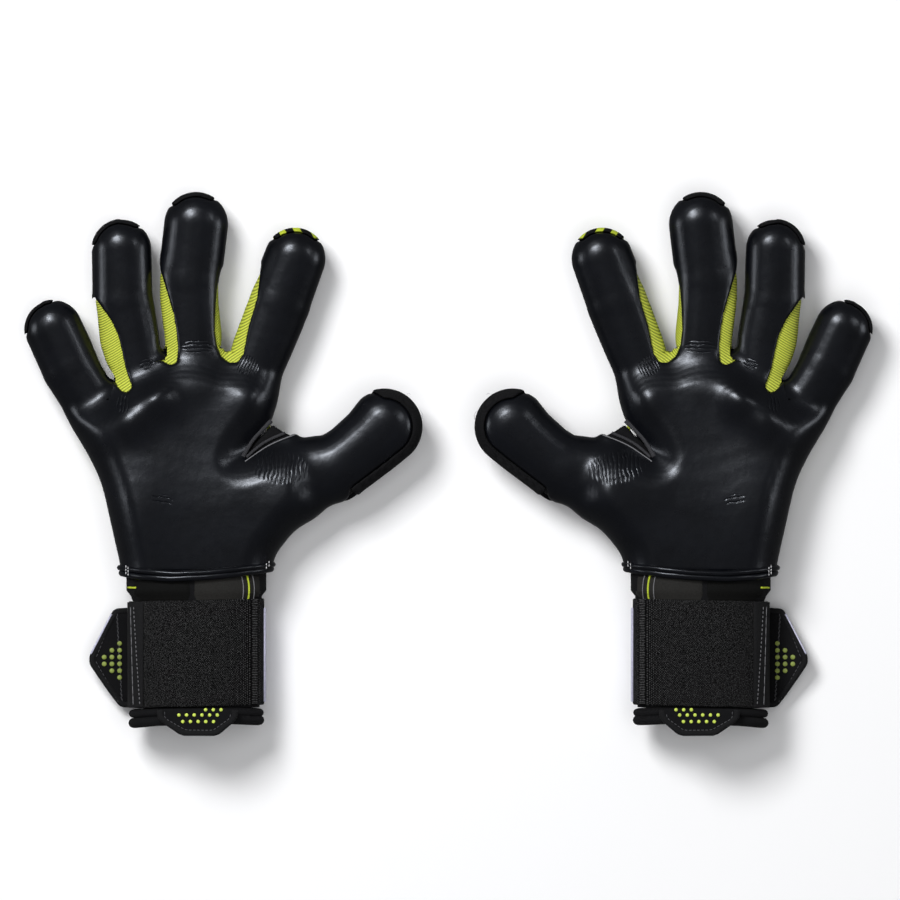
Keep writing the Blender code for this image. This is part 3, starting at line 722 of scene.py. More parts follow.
def palm_field(grid):
    """The palm as a padded outline with its swellings, and the thumb's web."""
    plan_x, plan_y = grid.plan()
    edge = blurred(outline_distance(plan_x, plan_y, PALM_OUTLINE), PALM_EDGE_BLUR)
    middle, half = palm_heights(plan_y)
    rise = 0.0
    for x, y, across, along, height in SWELLINGS:
        rise = rise + height * np.exp(-(((plan_x - x) / across) ** 2) - ((plan_y - y) / along) ** 2)
    z = grid.points()[2]
    side = np.maximum(edge + PALM_EDGE, 0)[:, :, None] / PALM_EDGE
    up = z - middle[:, :, None]
    height = np.where(up > 0, up / (half + rise)[:, :, None], -up / half[:, :, None])
    palm = (np.sqrt(side**2 + height**2) - 1) * PALM_EDGE
    web_edge = outline_distance(plan_x, plan_y, NOTCH_WEB)
    web_side = np.maximum(web_edge + NOTCH_WEB_ROUND, 0)[:, :, None]
    web_up = np.maximum(np.abs(z - NOTCH_WEB_Z) - NOTCH_WEB_HALF + NOTCH_WEB_ROUND, 0)
    web = np.hypot(web_side, web_up) - NOTCH_WEB_ROUND
    return smin(palm, web, NOTCH_WEB_ROUND)


def open_panels(grid, names):
    """Where the latex is left open over these gussets, negative inside."""
    plan_x, plan_y = grid.plan()
    outlines = [WEB_PANELS[name] for name in names]
    panels = [outline_distance(plan_x, plan_y, outline) for outline in (*outlines, NOTCH_PANEL)]
    opening = np.minimum.reduce(panels)[:, :, None]
    return np.maximum(opening, PANEL_LOW_Z - grid.points()[2])


def front_area(grid, rim):
    """Negative where the front's latex may lie: above the side seams and inside the tips' rims."""
    plan_x, plan_y = grid.plan()
    in_x = ease((plan_x - THUMB_SEAM_X) / THUMB_SEAM_X_RAMP)
    in_y = ease((THUMB_SEAM_Y - plan_y) / THUMB_SEAM_Y_RAMP)
    seam = (SEAM_Z + THUMB_SEAM_RISE * (in_x * in_y))[:, :, None]
    return smax(seam - grid.points()[2], rim, RIM_ROUND)


def rim_area(digit, grid):
    """Negative where a digit's latex isn't cut back for the rim round its tip."""
    plan_x, plan_y = grid.plan()
    edge = digit_field(digit, plan_x, plan_y, digit.z)[1]
    heading, half_angle, width = digit.rim
    along = along_digit(digit, plan_x, plan_y)
    k, m, t = (np.array(p, float) for p in (digit.knuckle, digit.middle, digit.tip))
    on = t - m
    share = np.clip(((plan_x - m[0]) * on[0] + (plan_y - m[1]) * on[1]) / (on @ on), 0, 1)
    off_x = plan_x - m[0] - on[0] * share
    off_y = plan_y - m[1] - on[1] * share
    length = np.maximum(np.hypot(off_x, off_y), 1e-3)
    turn = math.radians(heading)
    facing = (off_x * math.cos(turn) + off_y * math.sin(turn)) / length
    limit = math.cos(math.radians(half_angle))
    in_arc = (facing - limit) / (1 - limit)
    band = width * ease(RIM_TAPER * in_arc)
    in_arc = np.minimum(in_arc * digit.thick, along - np.linalg.norm(m - k))
    return np.minimum(edge + band, in_arc)[:, :, None]


def place(side, points):
    """Points of a glove's plan as points of the pair's frame, in metres."""
    points = np.array(points, float).reshape(-1, 3)
    across = points[:, 0] - GLOVE_CENTRE_X
    if side == "left":
        across = -across
    return np.stack([across, points[:, 1] + WRIST_CREASE_Y, points[:, 2]], 1) * MM


def outward(mesh):
    """Turns every face of closed shells to look out."""
    bm = bmesh.new()
    bm.from_mesh(mesh)
    bmesh.ops.recalc_face_normals(bm, faces=bm.faces)
    bm.to_mesh(mesh)
    bm.free()


def make_piece(side, name, shape, material):
    """A smooth mesh object of a (points, faces) or (points, faces, normals) shape in the glove's plan.

    It keeps its plan points as the attribute "plan".
    """
    points, faces, normals = (*shape, None)[:3]
    points = np.array(points, float).reshape(-1, 3)
    faces = [tuple(face) for face in (faces.tolist() if isinstance(faces, np.ndarray) else faces)]
    if side == "left":
        faces = [face[::-1] for face in faces]
    mesh = bpy.data.meshes.new(f"{side}_{name}")
    mesh.from_pydata(place(side, points).tolist(), [], faces)
    mesh.shade_smooth()
    plan = mesh.attributes.new("plan", "FLOAT_VECTOR", "POINT")
    plan.data.foreach_set("vector", points.astype(np.float32).ravel())
    if normals is None:
        outward(mesh)
    else:
        flip = np.array([-1.0 if side == "left" else 1.0, 1.0, 1.0])
        mesh.normals_split_custom_set_from_vertices((normals * flip).tolist())
    mesh.materials.append(MATERIALS[material])
    obj = bpy.data.objects.new(f"{side}_{name}", mesh)
    bpy.context.scene.collection.objects.link(obj)
    return obj


def add(side, name, shape, material, body, *nodes, slot=None):
    """A piece that rides on one body and takes the place of these CAD nodes."""
    piece = make_piece(side, name, shape, material)
    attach(piece, f"{side}_{body}")
    if nodes:
        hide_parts(*(f"{side}_{node}" for node in nodes))
    return piece


def cut_out(surface, chosen):
    """The part of a (points, quads, normals) surface whose faces are chosen."""
    points, quads, normals = surface
    quads = quads[chosen]
    used, renumbered = np.unique(quads, return_inverse=True)
    return points[used], renumbered.reshape(-1, 4), normals[used]


def owned_by(digit, centres):
    """Which points belong to the digit's own pieces, and not to the palm's."""
    x, y, z = centres.T
    past = along_digit(digit, x, y) > digit.start
    return past & (digit_field(digit, x, y, z)[0] < OWN_REACH)


def face_centres(surface):
    points, quads, _ = surface
    return points[quads].mean(1)


class Hand:
    """The fields of one hand, sampled once and used for both gloves."""

    def __init__(self):
        self.grid = Grid(GRID_LOW, GRID_HIGH)
        self.palm = palm_field(self.grid)
        self.opening = open_panels(self.grid, WEB_PANELS)
        x, y, z = self.grid.points()
        single = {d.name: digit_field(d, x, y, z)[0] for d in DIGITS}
        self.solid = self.palm
        self.digits = {}
        for digit in DIGITS:
            own = single[digit.name]
            for other in NEIGHBOURS.get(digit.name, ()):
                own = smax(own, (own - single[other]) / 2 + FINGER_GAP, NEIGHBOUR_ROUND)
            self.digits[digit.name] = own
            self.solid = smin(self.solid, own, WEB_BLEND)

    def height(self, x, y, below=False):
        """Height of the hand's upper or lower surface over a plan point."""
        column = [int(round((v - low) / CELL)) for v, low in zip((x, y), self.grid.low)]
        values = self.solid[column[0], column[1]]
        inside = np.flatnonzero(values < 0)
        edge, step = (int(inside[0]), -1) if below else (int(inside[-1]), 1)
        share = values[edge] / (values[edge] - values[edge + step])
        return self.grid.axes[2][edge] + CELL * share * step

    def digit(self, digit):
        """(grid, field, opening) cut down to the digit, without its neighbours or their panels."""
        ends = np.array([digit.knuckle, digit.middle, digit.tip], float)
        reach = max(max(row[1:]) for row in digit.sides) + DIGIT_MARGIN
        low = (*(ends.min(0) - reach), -FAR)
        high = (*(ends.max(0) + reach), FAR)
        grid = self.grid.part(low, high)
        starts = [int(np.searchsorted(whole, part[0])) for whole, part in zip(self.grid.axes, grid.axes)]
        cut = tuple(slice(start, start + len(part)) for start, part in zip(starts, grid.axes))
        field = smin(self.palm[cut], self.digits[digit.name][cut], WEB_BLEND)
        return grid, field, open_panels(grid, DIGIT_PANELS.get(digit.name, ()))


def pad_field(hand):
    """The quilted knuckle pad: a raised layer on the back of the hand, pressed flat where it rests."""
    plan_x, plan_y = hand.grid.plan()
    edge = blurred(outline_distance(plan_x, plan_y, PAD_OUTLINE), 1)
    channels = np.minimum.reduce([path_distance(plan_x, plan_y, path) for path in PAD_CHANNELS])
    height = PAD_HEIGHT - PAD_CHANNEL_DEPTH * np.exp(-((channels / PAD_CHANNEL_WIDTH) ** 2))
    z = hand.grid.points()[2]
    layer = smax(hand.solid - height[:, :, None], PAD_SUNK - hand.solid, PAD_ROUND)
    layer = smax(layer, smax(edge[:, :, None], z - PAD_TOP_Z, PAD_TOP_ROUND), PAD_EDGE_ROUND)
    return smax(layer, PAD_REST_Z - z, PAD_ROUND)


def back_relief(digit, x, y):
    """How far the padded panels on a digit's back stand out, in plan."""
    k, m = np.array(digit.knuckle, float), np.array(digit.middle, float)
    along = along_digit(digit, x, y)
    edge = digit_field(digit, x, y, digit.z)[1]
    flex = np.minimum(np.abs(along - np.linalg.norm(m - k)), np.abs(along - BACK_FLEX_AT))
    inner = ease((-edge - BACK_PAD_INSET) / BACK_PAD_RAMP)
    return BACK_PAD * inner * ease((flex - BACK_FLEX_HALF) / BACK_FLEX_RAMP)


def shell(solid, thick, out=0.0):
    """A layer of a solid's skin, its outer side moved out by a distance."""
    return smax(solid - out, -(solid + thick), SHELL_ROUND)


def layers(grid, solid, opening, rim, rim_rise=RIM_RISE):
    """The fields of the latex, the back panels and the fabric under them."""
    front = front_area(grid, rim)
    in_front = smax(front + SEAM_HALF_GAP, -opening, PANEL_ROUND)
    behind = smax(SEAM_HALF_GAP - front, -opening, PANEL_ROUND)
    latex = smax(shell(solid, LATEX_THICK), in_front, LATEX_ROUND)
    back = smax(shell(solid, BACK_THICK, rim_rise), behind, BACK_ROUND)
    heel = HEEL_Y - grid.points()[1]
    cavity = smax(solid + CAVITY_WALL, grid.points()[1] - CAVITY_END_Y, CAVITY_END_ROUND)
    fabric = smax(solid + FABRIC_INSET, -cavity, PANEL_ROUND)
    return {
        "latex": smax(latex, heel, HEEL_ROUND),
        "back": smax(back, heel, HEEL_ROUND),
        "fabric": smax(fabric, heel, FABRIC_HEEL_ROUND),
    }


def lime_faces(surface):
    """Which of a fabric surface's faces show in the lime web panels, or lie just under their edges."""
    x, y, z = face_centres(surface).T
    edges = [outline_distance(x, y, outline) for outline in WEB_PANELS.values()]
    return (np.minimum.reduce(edges) < LIME_UNDER_EDGE) & (z > PANEL_LOW_Z - LIME_UNDER_BACK)


def split_layer(name, surface):
    """A layer's surface by its material: the fabric's web panels are lime."""
    if name != "fabric":
        return {name: surface}
    lime = lime_faces(surface)
    return {"fabric": cut_out(surface, ~lime), "lime": cut_out(surface, lime)}


def plan_point(side, point, z):
    return tuple(place(side, (*point, z))[0])


def digit_stops(digit):
    """Plan points along the digit where its pieces' bends start and end."""
    k, m, t = (np.array(p, float) for p in (digit.knuckle, digit.middle, digit.tip))
    base = np.linalg.norm(m - k)
    ahead = (m - k) / base
    return {
        "base": (k + ahead * (digit.start + BASE_BEND_IN), k + ahead * BASE_BENT * base),
        "tip": (k + ahead * TIP_BEND * base, m + (t - m) * TIP_BENT),
    }


def digit_cuts(hand, digit):
    """A digit's layers, each cut into its base and its tip."""
    cuts = []
    grid, solid, opening = hand.digit(digit)
    base = math.dist(digit.knuckle, digit.middle)
    rim_rise = THUMB_RIM_RISE if digit.name == "thumb" else RIM_RISE
    low = ease((BACK_TOP_Z - grid.points()[2]) / BACK_TOP_RAMP)
    rise = rim_rise + back_relief(digit, *grid.plan())[:, :, None] * low
    for layer, field in layers(grid, solid, opening, rim_area(digit, grid), rise).items():
        surface = surface_net(grid, field)
        centres = face_centres(surface)
        taken = owned_by(digit, centres)
        is_tip = along_digit(digit, centres[:, 0], centres[:, 1]) > TIP_SPLIT * base
        for part_name, chosen in (("base", taken & ~is_tip), ("tip", taken & is_tip)):
            for name, part in split_layer(layer, cut_out(surface, chosen)).items():
                cuts.append((f"{digit.name}_{part_name}_{name}", name, part_name, digit, part))
    return cuts


def hand_cuts(hand):
    """Every layer of the hand as (name, layer, part, digit, surface), cut where its bodies meet."""
    cuts = []
    whole = layers(hand.grid, hand.solid, hand.opening, np.full((1, 1, 1), NO_RIM))
    for layer, field in whole.items():
        surface = surface_net(hand.grid, field)
        centres = face_centres(surface)
        taken = np.logical_or.reduce([owned_by(digit, centres) for digit in DIGITS])
        for name, part in split_layer(layer, cut_out(surface, ~taken)).items():
            cuts.append((f"palm_{name}", name, "palm", None, part))
    for digit in DIGITS:
        cuts.extend(digit_cuts(hand, digit))
    return [cut for cut in cuts if len(cut[-1][1])]


def hand_piece(side, name, layer, part_name, digit, surface):
    """One cut of a hand's layer: a palm cut is bound to the hand's body, a digit's cut is left unbound where
    it lies.
    """
    material = "striped_back" if name == "index_tip_back" else LAYER_SLOTS[layer]
    piece = make_piece(side, f"{name}_skin", surface, material)
    if digit is None:
        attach(piece, f"{side}_hand")
    else:
        start, end = (plan_point(side, stop, digit.z) for stop in digit_stops(digit)[part_name])
        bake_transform(piece)
    nodes = REPLACED.get((layer, part_name), ())
    if layer == "latex" and digit:
        nodes = (f"{digit.name}_{part_name}_wrap",)
    if nodes:
        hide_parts(*(f"{side}_{node}" for node in nodes))


def hand_pieces(hand):
    """The knuckle pads and every cut of the hand's layers, for both gloves."""
    pad = surface_net(hand.grid, pad_field(hand))
    for side in SIDES:
        piece = add(side, "knuckle_pad_quilted", pad, "back_rubber", "hand", "knuckle_pad")
    cuts = hand_cuts(hand)
    for side in SIDES:
        for cut in cuts:
            hand_piece(side, *cut)


def wrist_size(y, out):
    """Half-width and half-height of the wrist's sleeve, at a distance off it."""
    flare = CUFF_FLARE * ease((y - FLARE_START_Y) / FLARE_LENGTH)
    return CUFF_HALF_WIDTH + flare + out, CUFF_HALF_HEIGHT + FLARE_UP * flare + out


def wrist_point(y, degrees, out):
    """A point off the wrist sleeve's outer skin: 0 degrees is the thumb side, 90 the palm."""
    turn = math.radians(degrees)
    c, s = math.cos(turn), math.sin(turn)
    power = 2 / SQUARENESS
    across = math.copysign(abs(c) ** power, c)
    up = math.copysign(abs(s) ** power, s)
    half_width, half_height = wrist_size(y, out)
    return half_width * across, y, CUFF_Z + half_height * up


def sleeve_point(x, y, out):
    """The wrist's surface above a plan x on the palm side."""
    half_width, half_height = wrist_size(y, out)
    inside = max(0.0, 1.0 - (abs(x) / half_width) ** SQUARENESS)
    return x, y, CUFF_Z + half_height * inside ** (1 / SQUARENESS)


def grid_faces(rows, columns, close_rows=False, close_columns=False):
    """Quads of a grid of points, outwards where columns turn from +x to +z and rows go along +y."""
    faces = []
    for i in range(rows if close_rows else rows - 1):
        for j in range(columns if close_columns else columns - 1):
            i2, j2 = (i + 1) % rows, (j + 1) % columns
            faces.append((i * columns + j, i2 * columns + j, i2 * columns + j2, i * columns + j2))
    return faces


def wrist_wrap(profile, arc, tilt=0.0):
    """(points, faces) of a closed profile of (y, out) swept round the wrist over an arc.

    tilt is how much each point rises along y for each millimetre of x.
    """
    full = arc[1] - arc[0] >= 360
    count = max(8, round((arc[1] - arc[0]) / WRAP_STEP))
    turns = [arc[0] + (arc[1] - arc[0]) * k / count for k in range(count + (0 if full else 1))]
    points = [wrist_point(y, degrees, out) for y, out in profile for degrees in turns]
    points = [(x, y + tilt * x, z) for x, y, z in points]
    columns = len(turns)
    faces = grid_faces(len(profile), columns, close_rows=True, close_columns=full)
    if not full:
        faces.append(tuple(k * columns for k in range(len(profile) - 1, -1, -1)))
        faces.append(tuple(k * columns + columns - 1 for k in range(len(profile))))
    return points, faces


def rounded_strip(low, high, inner, outer, radius, steps=4):
    """A closed (y, out) profile of a strip with rounded long edges, turning from +y down to out."""
    profile = []
    for centre_y, centre_out, first in (
        (high - radius, outer - radius, 0), (low + radius, outer - radius, 90),
        (low + radius, inner + radius, 180), (high - radius, inner + radius, 270),
    ):
        for k in range(steps + 1):
            turn = math.radians(first + 90 * k / steps)
            profile.append((centre_y + radius * math.cos(turn), centre_out + radius * math.sin(turn)))
    return profile[::-1]


def frames_along(path, closed=False):
    """Unit directions along a path of points."""
    path = np.array(path, float)
    ahead = np.roll(path, -1, 0) - path
    behind = path - np.roll(path, 1, 0)
    if not closed:
        ahead[-1] = behind[-1]
        behind[0] = ahead[0]
    along = ahead + behind
    return along / np.linalg.norm(along, axis=1)[:, None]


def tube(path, radii, closed=False, sides=10, up=(0.0, 0.0, 1.0)):
    """(points, faces) of a tube round a path. radii are its half-width across and its half-height."""
    path = np.array(path, float)
    along = frames_along(path, closed)
    across = np.cross(along, up)
    across /= np.maximum(np.linalg.norm(across, axis=1), 1e-6)[:, None]
    top = np.cross(across, along)
    turns = 2 * math.pi * np.arange(sides) / sides
    points = []
    for centre, a, t in zip(path, across, top):
        for turn in turns:
            points.append(centre + a * radii[0] * math.cos(turn) + t * radii[1] * math.sin(turn))
    faces = grid_faces(len(path), sides, close_rows=closed, close_columns=True)
    if not closed:
        faces.append(tuple(range(sides)))
        faces.append(tuple(len(path) * sides - 1 - k for k in range(sides)))
    return points, faces


def joined(parts):
    """Several (points, faces) as one."""
    points, faces = [], []
    for part_points, part_faces in parts:
        start = len(points)
        points.extend(map(tuple, part_points))
        faces.extend(tuple(start + k for k in face) for face in part_faces)
    return points, faces


def lengths_along(path):
    """How far along a path each of its points lies."""
    steps = np.linalg.norm(np.diff(path, axis=0), axis=1)
    return np.concatenate([[0], np.cumsum(steps)])


def resampled(path, spacing, closed=False):
    """Points at equal spacing along a path."""
    path = np.array(path, float)
    if closed:
        path = np.concatenate([path, path[:1]])
    at = lengths_along(path)
    count = max(2, round(at[-1] / spacing))
    wanted = np.linspace(0, at[-1], count + 1)
    made = np.stack([np.interp(wanted, at, path[:, k]) for k in range(path.shape[1])], 1)
    return made[:-1] if closed else made


def softened(path, rounds=2, closed=False):
    """A path with its corners cut off, a few times over."""
    path = [np.array(p, float) for p in path]
    for _ in range(rounds):
        made = [] if closed else [path[0]]
        pairs = zip(path, path[1:] + path[:1]) if closed else zip(path, path[1:])
        for a, b in pairs:
            made.extend((a * 0.75 + b * 0.25, a * 0.25 + b * 0.75))
        if not closed:
            made.append(path[-1])
        path = made
    return path


def stitches(path, length, gap, radius):
    """(points, faces) of a row of thread stitches sunk into a path."""
    path = resampled(path, 0.3)
    at = lengths_along(path)
    parts = []
    start = gap / 2
    while start + length < at[-1]:
        shares = start + length * np.linspace(0, 1, 5)
        line = np.stack([np.interp(shares, at, path[:, k]) for k in range(3)], 1)
        line[:, 2] += radius * np.array([-0.9, 0.25, 0.5, 0.25, -0.9])
        parts.append(tube(line, (radius, radius * 0.8), sides=6))
        start += length + gap
    return joined(parts)


def dome(centre, radius, height, sides=14):
    """(points, faces) of a low rounded dot that stands on a surface."""
    centre = np.array(centre, float)
    turns = [2 * math.pi * k / sides for k in range(sides)]
    rings = ((1.0, -0.4), (1.0, 0.3), (0.88, 0.7), (0.55, 0.95))
    points = []
    for reach, rise in rings:
        for turn in turns:
            flat = np.array([-math.cos(turn), -math.sin(turn), 0.0])
            points.append(centre + flat * radius * reach + np.array([0.0, 0.0, height * rise]))
    faces = grid_faces(len(rings), sides, close_columns=True)
    points.append(centre + np.array([0.0, 0.0, height]))
    top = len(points) - 1
    last = (len(rings) - 1) * sides
    faces.extend((last + k, last + (k + 1) % sides, top) for k in range(sides))
    faces.append(tuple(range(sides - 1, -1, -1)))
    return points, faces


def wrist_roll(out, radii, arc, rises):
    """(points, faces) of a rolled edge round the wrist. rises gives its y at values of x."""
    full = arc[1] - arc[0] >= 360
    across, heights = np.array(rises, float).T
    path = []
    for degrees in np.arange(arc[0], arc[1] + (0 if full else 1), ROLL_STEP):
        x, _, z = wrist_point(rises[0][1], degrees, out)
        path.append((x, float(np.interp(x, across, heights)), z))
    path = np.array(path)
    if full:
        for _ in range(SMOOTHINGS):
            path[:, 1] = (np.roll(path[:, 1], 1) + path[:, 1] + np.roll(path[:, 1], -1)) / 3
    return tube(path, radii, closed=full, sides=12, up=(0.0, 1.0, 0.0))


def add_strip(side, name, material, arc, profile, tilt, node):
    add(side, name, wrist_wrap(rounded_strip(*profile), arc, tilt), material, "hand", node)


def wrist_pieces(side):
    """The sleeve, the strap, the hem and the heel's binding."""
    profile = [(y, 0.0) for y in SLEEVE_ROWS] + [(y, -SLEEVE_THICK) for y in SLEEVE_ROWS[::-1]]
    add(side, "cuff_sleeve_knit", wrist_wrap(profile, FULL_TURN), "black_fabric", "hand", "cuff_sleeve")
    add_strip(side, *STRAP)
    for node, material, rolls in WRIST_ROLLS:
        for number, roll in enumerate(rolls, 1):
            nodes = (node,) if number == 1 else ()
            add(side, f"{node}_roll_{number}", wrist_roll(*roll), material, "hand", *nodes)


def strap_details(side):
    """The strap's sewn anchor, edge trim and stitch lines, and the loop tape at the back."""
    for strip in STRAP_STRIPS:
        add_strip(side, *strip)
    ys = np.arange(STRAP_BOTTOM_Y + SEAM_IN[0], STRAP_TOP_Y - SEAM_IN[1], SEAM_STEP)
    shares = (ys - ys[0]) / (ys[-1] - ys[0])
    rows = []
    for low_turn, high_turn, length, gap, radius in STRAP_SEAMS:
        turns = low_turn + (high_turn - low_turn) * shares
        path = [wrist_point(y, degrees, SEAM_OFF) for y, degrees in zip(ys, turns)]
        path = [(x, y + STRAP_TILT * x, z) for x, y, z in path]
        rows.append(stitches(path, length, gap, radius))
    add(side, "strap_stitches", joined(rows), "grey_thread", "hand")


def tail_z(x):
    """The tail's underside: round the back of the wrist, then straight out."""
    bend_x = max(x, TAIL_LEAVES_X)
    inside = 1.0 - (abs(bend_x) / (CUFF_HALF_WIDTH + TAIL_ROOM)) ** SQUARENESS
    z = CUFF_Z - (CUFF_HALF_HEIGHT + TAIL_ROOM) * inside ** (1 / SQUARENESS)
    return z + (bend_x - x) * math.tan(math.radians(TAIL_SLOPE))


def tail_top(x, _y):
    return tail_z(x) + TAIL_THICK


def hook_top(x, y):
    return tail_top(x, y) + HOOK_LIFT


def tab_top(_x, y):
    return TAB_Z + TAB_THICK - TAB_SLOPE * max(0.0, TAB_TOP_Y - y)


def laid(path, top, lift):
    """A plan path laid at a height over a surface."""
    return [(x, y, top(x, y) + lift) for x, y in path]


def inset_by(outline, distance):
    """The outline of a convex plate moved in by a distance."""
    outline = np.array(outline, float)
    middle = outline.mean(0)
    away = outline - middle
    reach = np.linalg.norm(away, axis=1)[:, None]
    return middle + away * (1 - distance / reach)


def plate_strip(outline, top, thick, step=2.0, columns=9):
    """(points, faces) of a sheet cut to a convex outline, in strips along x, so that it can curve."""
    outline = np.array(outline, float)
    low, high = outline[:, 0].min(), outline[:, 0].max()
    count = max(4, round((high - low) / step))
    closed = np.concatenate([outline, outline[:1]])
    points = []
    for x in np.linspace(low + 0.05, high - 0.05, count + 1):
        crossings = []
        for a, b in zip(closed, closed[1:]):
            if (a[0] - x) * (b[0] - x) <= 0 and a[0] != b[0]:
                crossings.append(a[1] + (b[1] - a[1]) * (x - a[0]) / (b[0] - a[0]))
        ys = np.linspace(min(crossings), max(crossings), columns)
        points += [(x, y, top(x, y)) for y in ys]
        points += [(x, y, top(x, y) - thick) for y in ys[::-1]]
    faces = grid_faces(count + 1, 2 * columns, close_columns=True)
    faces.append(tuple(range(2 * columns)))
    faces.append(tuple(count * 2 * columns + k for k in range(2 * columns))[::-1])
    return points, faces


def tail_piece(side):
    """The strap's free end: a pointed tab with a bound, stitched edge and printed grip dots."""
    outline = resampled(softened(TAIL_OUTLINE, 1, closed=True), 2.0, closed=True)
    tail = plate_strip(outline, tail_top, TAIL_THICK)
    add(side, "strap_tail_fabric", tail, "black_fabric", "strap_tail", "strap_tail")
    inner = softened(inset_by(TAIL_OUTLINE, TAIL_BINDING[0]).tolist(), 1, closed=True)
    edge = laid(resampled(inner, 1.2, closed=True), tail_top, TAIL_BINDING_LIFT)
    add(side, "strap_tail_binding", tube(edge, TAIL_BINDING, closed=True), "binding", "strap_tail")
    # A pale tube along the tail's upper-left edge: a painted highlight.
    line = laid(resampled(TAIL_HIGHLIGHT_EDGE, 1.5), tail_top, TAIL_HIGHLIGHT_LIFT)
    add(side, "strap_tail_white_edge", tube(line, TAIL_HIGHLIGHT_RADII), "lavender_trim", "strap_tail")
    seen = [p for p in TAIL_OUTLINE if p[0] < TAIL_SEEN_X]
    for name, distance in TAIL_SEAMS:
        line = laid(resampled(inset_by(seen, distance), 0.8), tail_top, TAIL_SEAM_LIFT)
        seam = stitches(line, *TAIL_STITCH)
        add(side, f"strap_tail_stitches_{name}", seam, "dark_thread", "strap_tail")
    spots = []
    for column, count in enumerate(TAIL_DOTS):
        x = TAIL_DOTS_FROM[0] + TAIL_DOT_PITCH[0] * column
        for k in range(count):
            spots.append((x, TAIL_DOTS_FROM[1] + TAIL_DOT_PITCH[1] * (k - (count - 1) / 2)))
    dots = joined(dome(spot, *TAIL_DOT) for spot in laid(spots, tail_top, TAIL_DOT_LIFT))
    add(side, "strap_grip_print", dots, "lime_dots_dull", "strap_tail", "strap_grip_dots")
    tape = plate_strip(resampled(HOOK_OUTLINE, 2.0, closed=True), hook_top, HOOK_THICK)
    add(side, "hook_tape", tape, "hook_tape", "strap_tail", "hook_patch")


def tab_piece(side):
    """The pull tab below the strap, with its bound edge, stitches and printed dots."""
    tab = plate_strip(resampled(TAB_OUTLINE, 1.5, closed=True), tab_top, TAB_THICK)
    add(side, "pull_tab_fabric", tab, "black_fabric", "pull_tab", "pull_tab")
    edge = laid(resampled(inset_by(TAB_OUTLINE, TAB_BINDING_IN), 1.2), tab_top, TAB_BINDING_LIFT)
    add(side, "pull_tab_binding", tube(edge, TAB_BINDING), "binding", "pull_tab")
    line = laid(resampled(inset_by(TAB_OUTLINE, TAB_SEAM_IN), 0.8), tab_top, TAB_SEAM_LIFT)
    add(side, "pull_tab_stitches", stitches(line, *TAB_STITCH), "dark_thread", "pull_tab")
    spots = []
    for count, middle, y in TAB_DOT_ROWS:
        spots += [(middle + TAB_DOT_PITCH * (k - (count - 1) / 2), y) for k in range(count)]
    dots = joined(dome(spot, *TAB_DOT) for spot in laid(spots, tab_top, 0.0))
    add(side, "pull_tab_print", dots, "lime_dots", "pull_tab", "pull_tab_dots")


def sleeve_swell(low_x, high_x, across=22, along=12):
    """(points, faces) of a soft swell of the sleeve's fabric between the strap and the heel."""
    low_y, high_y = SWELL_Y
    points = []
    for under in (False, True):
        for v in np.linspace(0, 1, along + 1):
            for u in np.linspace(0, 1, across + 1):
                crown = (math.sin(math.pi * u) * math.sin(math.pi * v)) ** SWELL_POWER
                out = SWELL_UNDER if under else SWELL_RISE * crown - SWELL_SUNK
                x = low_x + (high_x - low_x) * u
                points.append(sleeve_point(x, low_y + (high_y - low_y) * v, out))
    columns, layer = across + 1, (across + 1) * (along + 1)
    faces = [tuple(face[::-1]) for face in grid_faces(along + 1, columns)]
    faces += [tuple(k + layer for k in face[::-1]) for face in faces]
    rim = [*range(columns), *(columns * k + columns - 1 for k in range(1, along + 1))]
    rim += [*(layer - 1 - k for k in range(1, columns)), *(columns * k for k in range(along - 1, 0, -1))]
    faces += [(a, b, b + layer, a + layer) for a, b in zip(rim, rim[1:] + rim[:1])]
    return points, faces


def sleeve_details(side):
    """Thin piping lines and soft swells on the sleeve between the strap and the heel."""
    for name, x, width, material in SLEEVE_LINES:
        ys = np.arange(*LINE_Y, 1.0)
        path = [sleeve_point(x - LINE_BOW * (y - LINE_MIDDLE_Y) ** 2, y, LINE_OFF) for y in ys]
        add(side, f"gauntlet_{name}", tube(path, (width, LINE_HALF_HEIGHT)), material, "hand")
    # Each swell gets its own painted tone of the sleeve cloth: painted shade on the left, painted sheen on
    # the right.
    for name, low_x, high_x in SWELLS:
        add(side, f"gauntlet_panel_{name}", sleeve_swell(low_x, high_x), f"gauntlet_{name}", "hand")
    dash = [sleeve_point(x, DASH_Y, DASH_OFF) for x in np.linspace(*DASH_X, 6)]
    add(side, "gauntlet_lime_dash", tube(dash, DASH_RADII), "lime_fabric", "hand")


def surface_path(hand, path, lift, below=False):
    """A soft plan path laid on the hand's upper or lower surface."""
    plan = resampled(softened(path, 2), 1.0)
    heights = np.array([hand.height(x, y, below) for x, y in plan]) + lift
    for _ in range(SMOOTHINGS):
        heights[1:-1] = (heights[:-2] + heights[1:-1] + heights[2:]) / 3
    return np.column_stack([plan, heights])


def hand_details(hand):
    """Rolled edges in the thumb's notch, piping on the back, stitches and loose thread ends."""
    for name, path, radii, lift, material in NOTCH_EDGES:
        line = surface_path(hand, path, lift)
        for side in SIDES:
            add(side, name, tube(line, radii), material, "hand")
    for number, path in enumerate(BACK_PIPING, 1):
        line = surface_path(hand, path, BACK_PIPING_LIFT, below=True)
        for side in SIDES:
            add(side, f"back_piping_{number}", tube(line, BACK_PIPING_RADII), "lime_fabric", "hand")
    for side in SIDES:
        ends = []
        for x, low, high in HEEL_STITCHES:
            line = [sleeve_point(x, y, HEEL_STITCH_OFF) for y in np.linspace(low, high, 8)]
            ends.append(stitches(line, *HEEL_STITCH))
        add(side, "heel_end_stitches", joined(ends), "white_thread", "hand", slot="latex")
    for side in SIDES:
        threads = [tube(resampled(softened(path), 0.4), THREAD_RADII, sides=6) for path in THREAD_ENDS]
        add(side, "thumb_thread_ends", joined(threads), "white_thread", "thumb_tip")


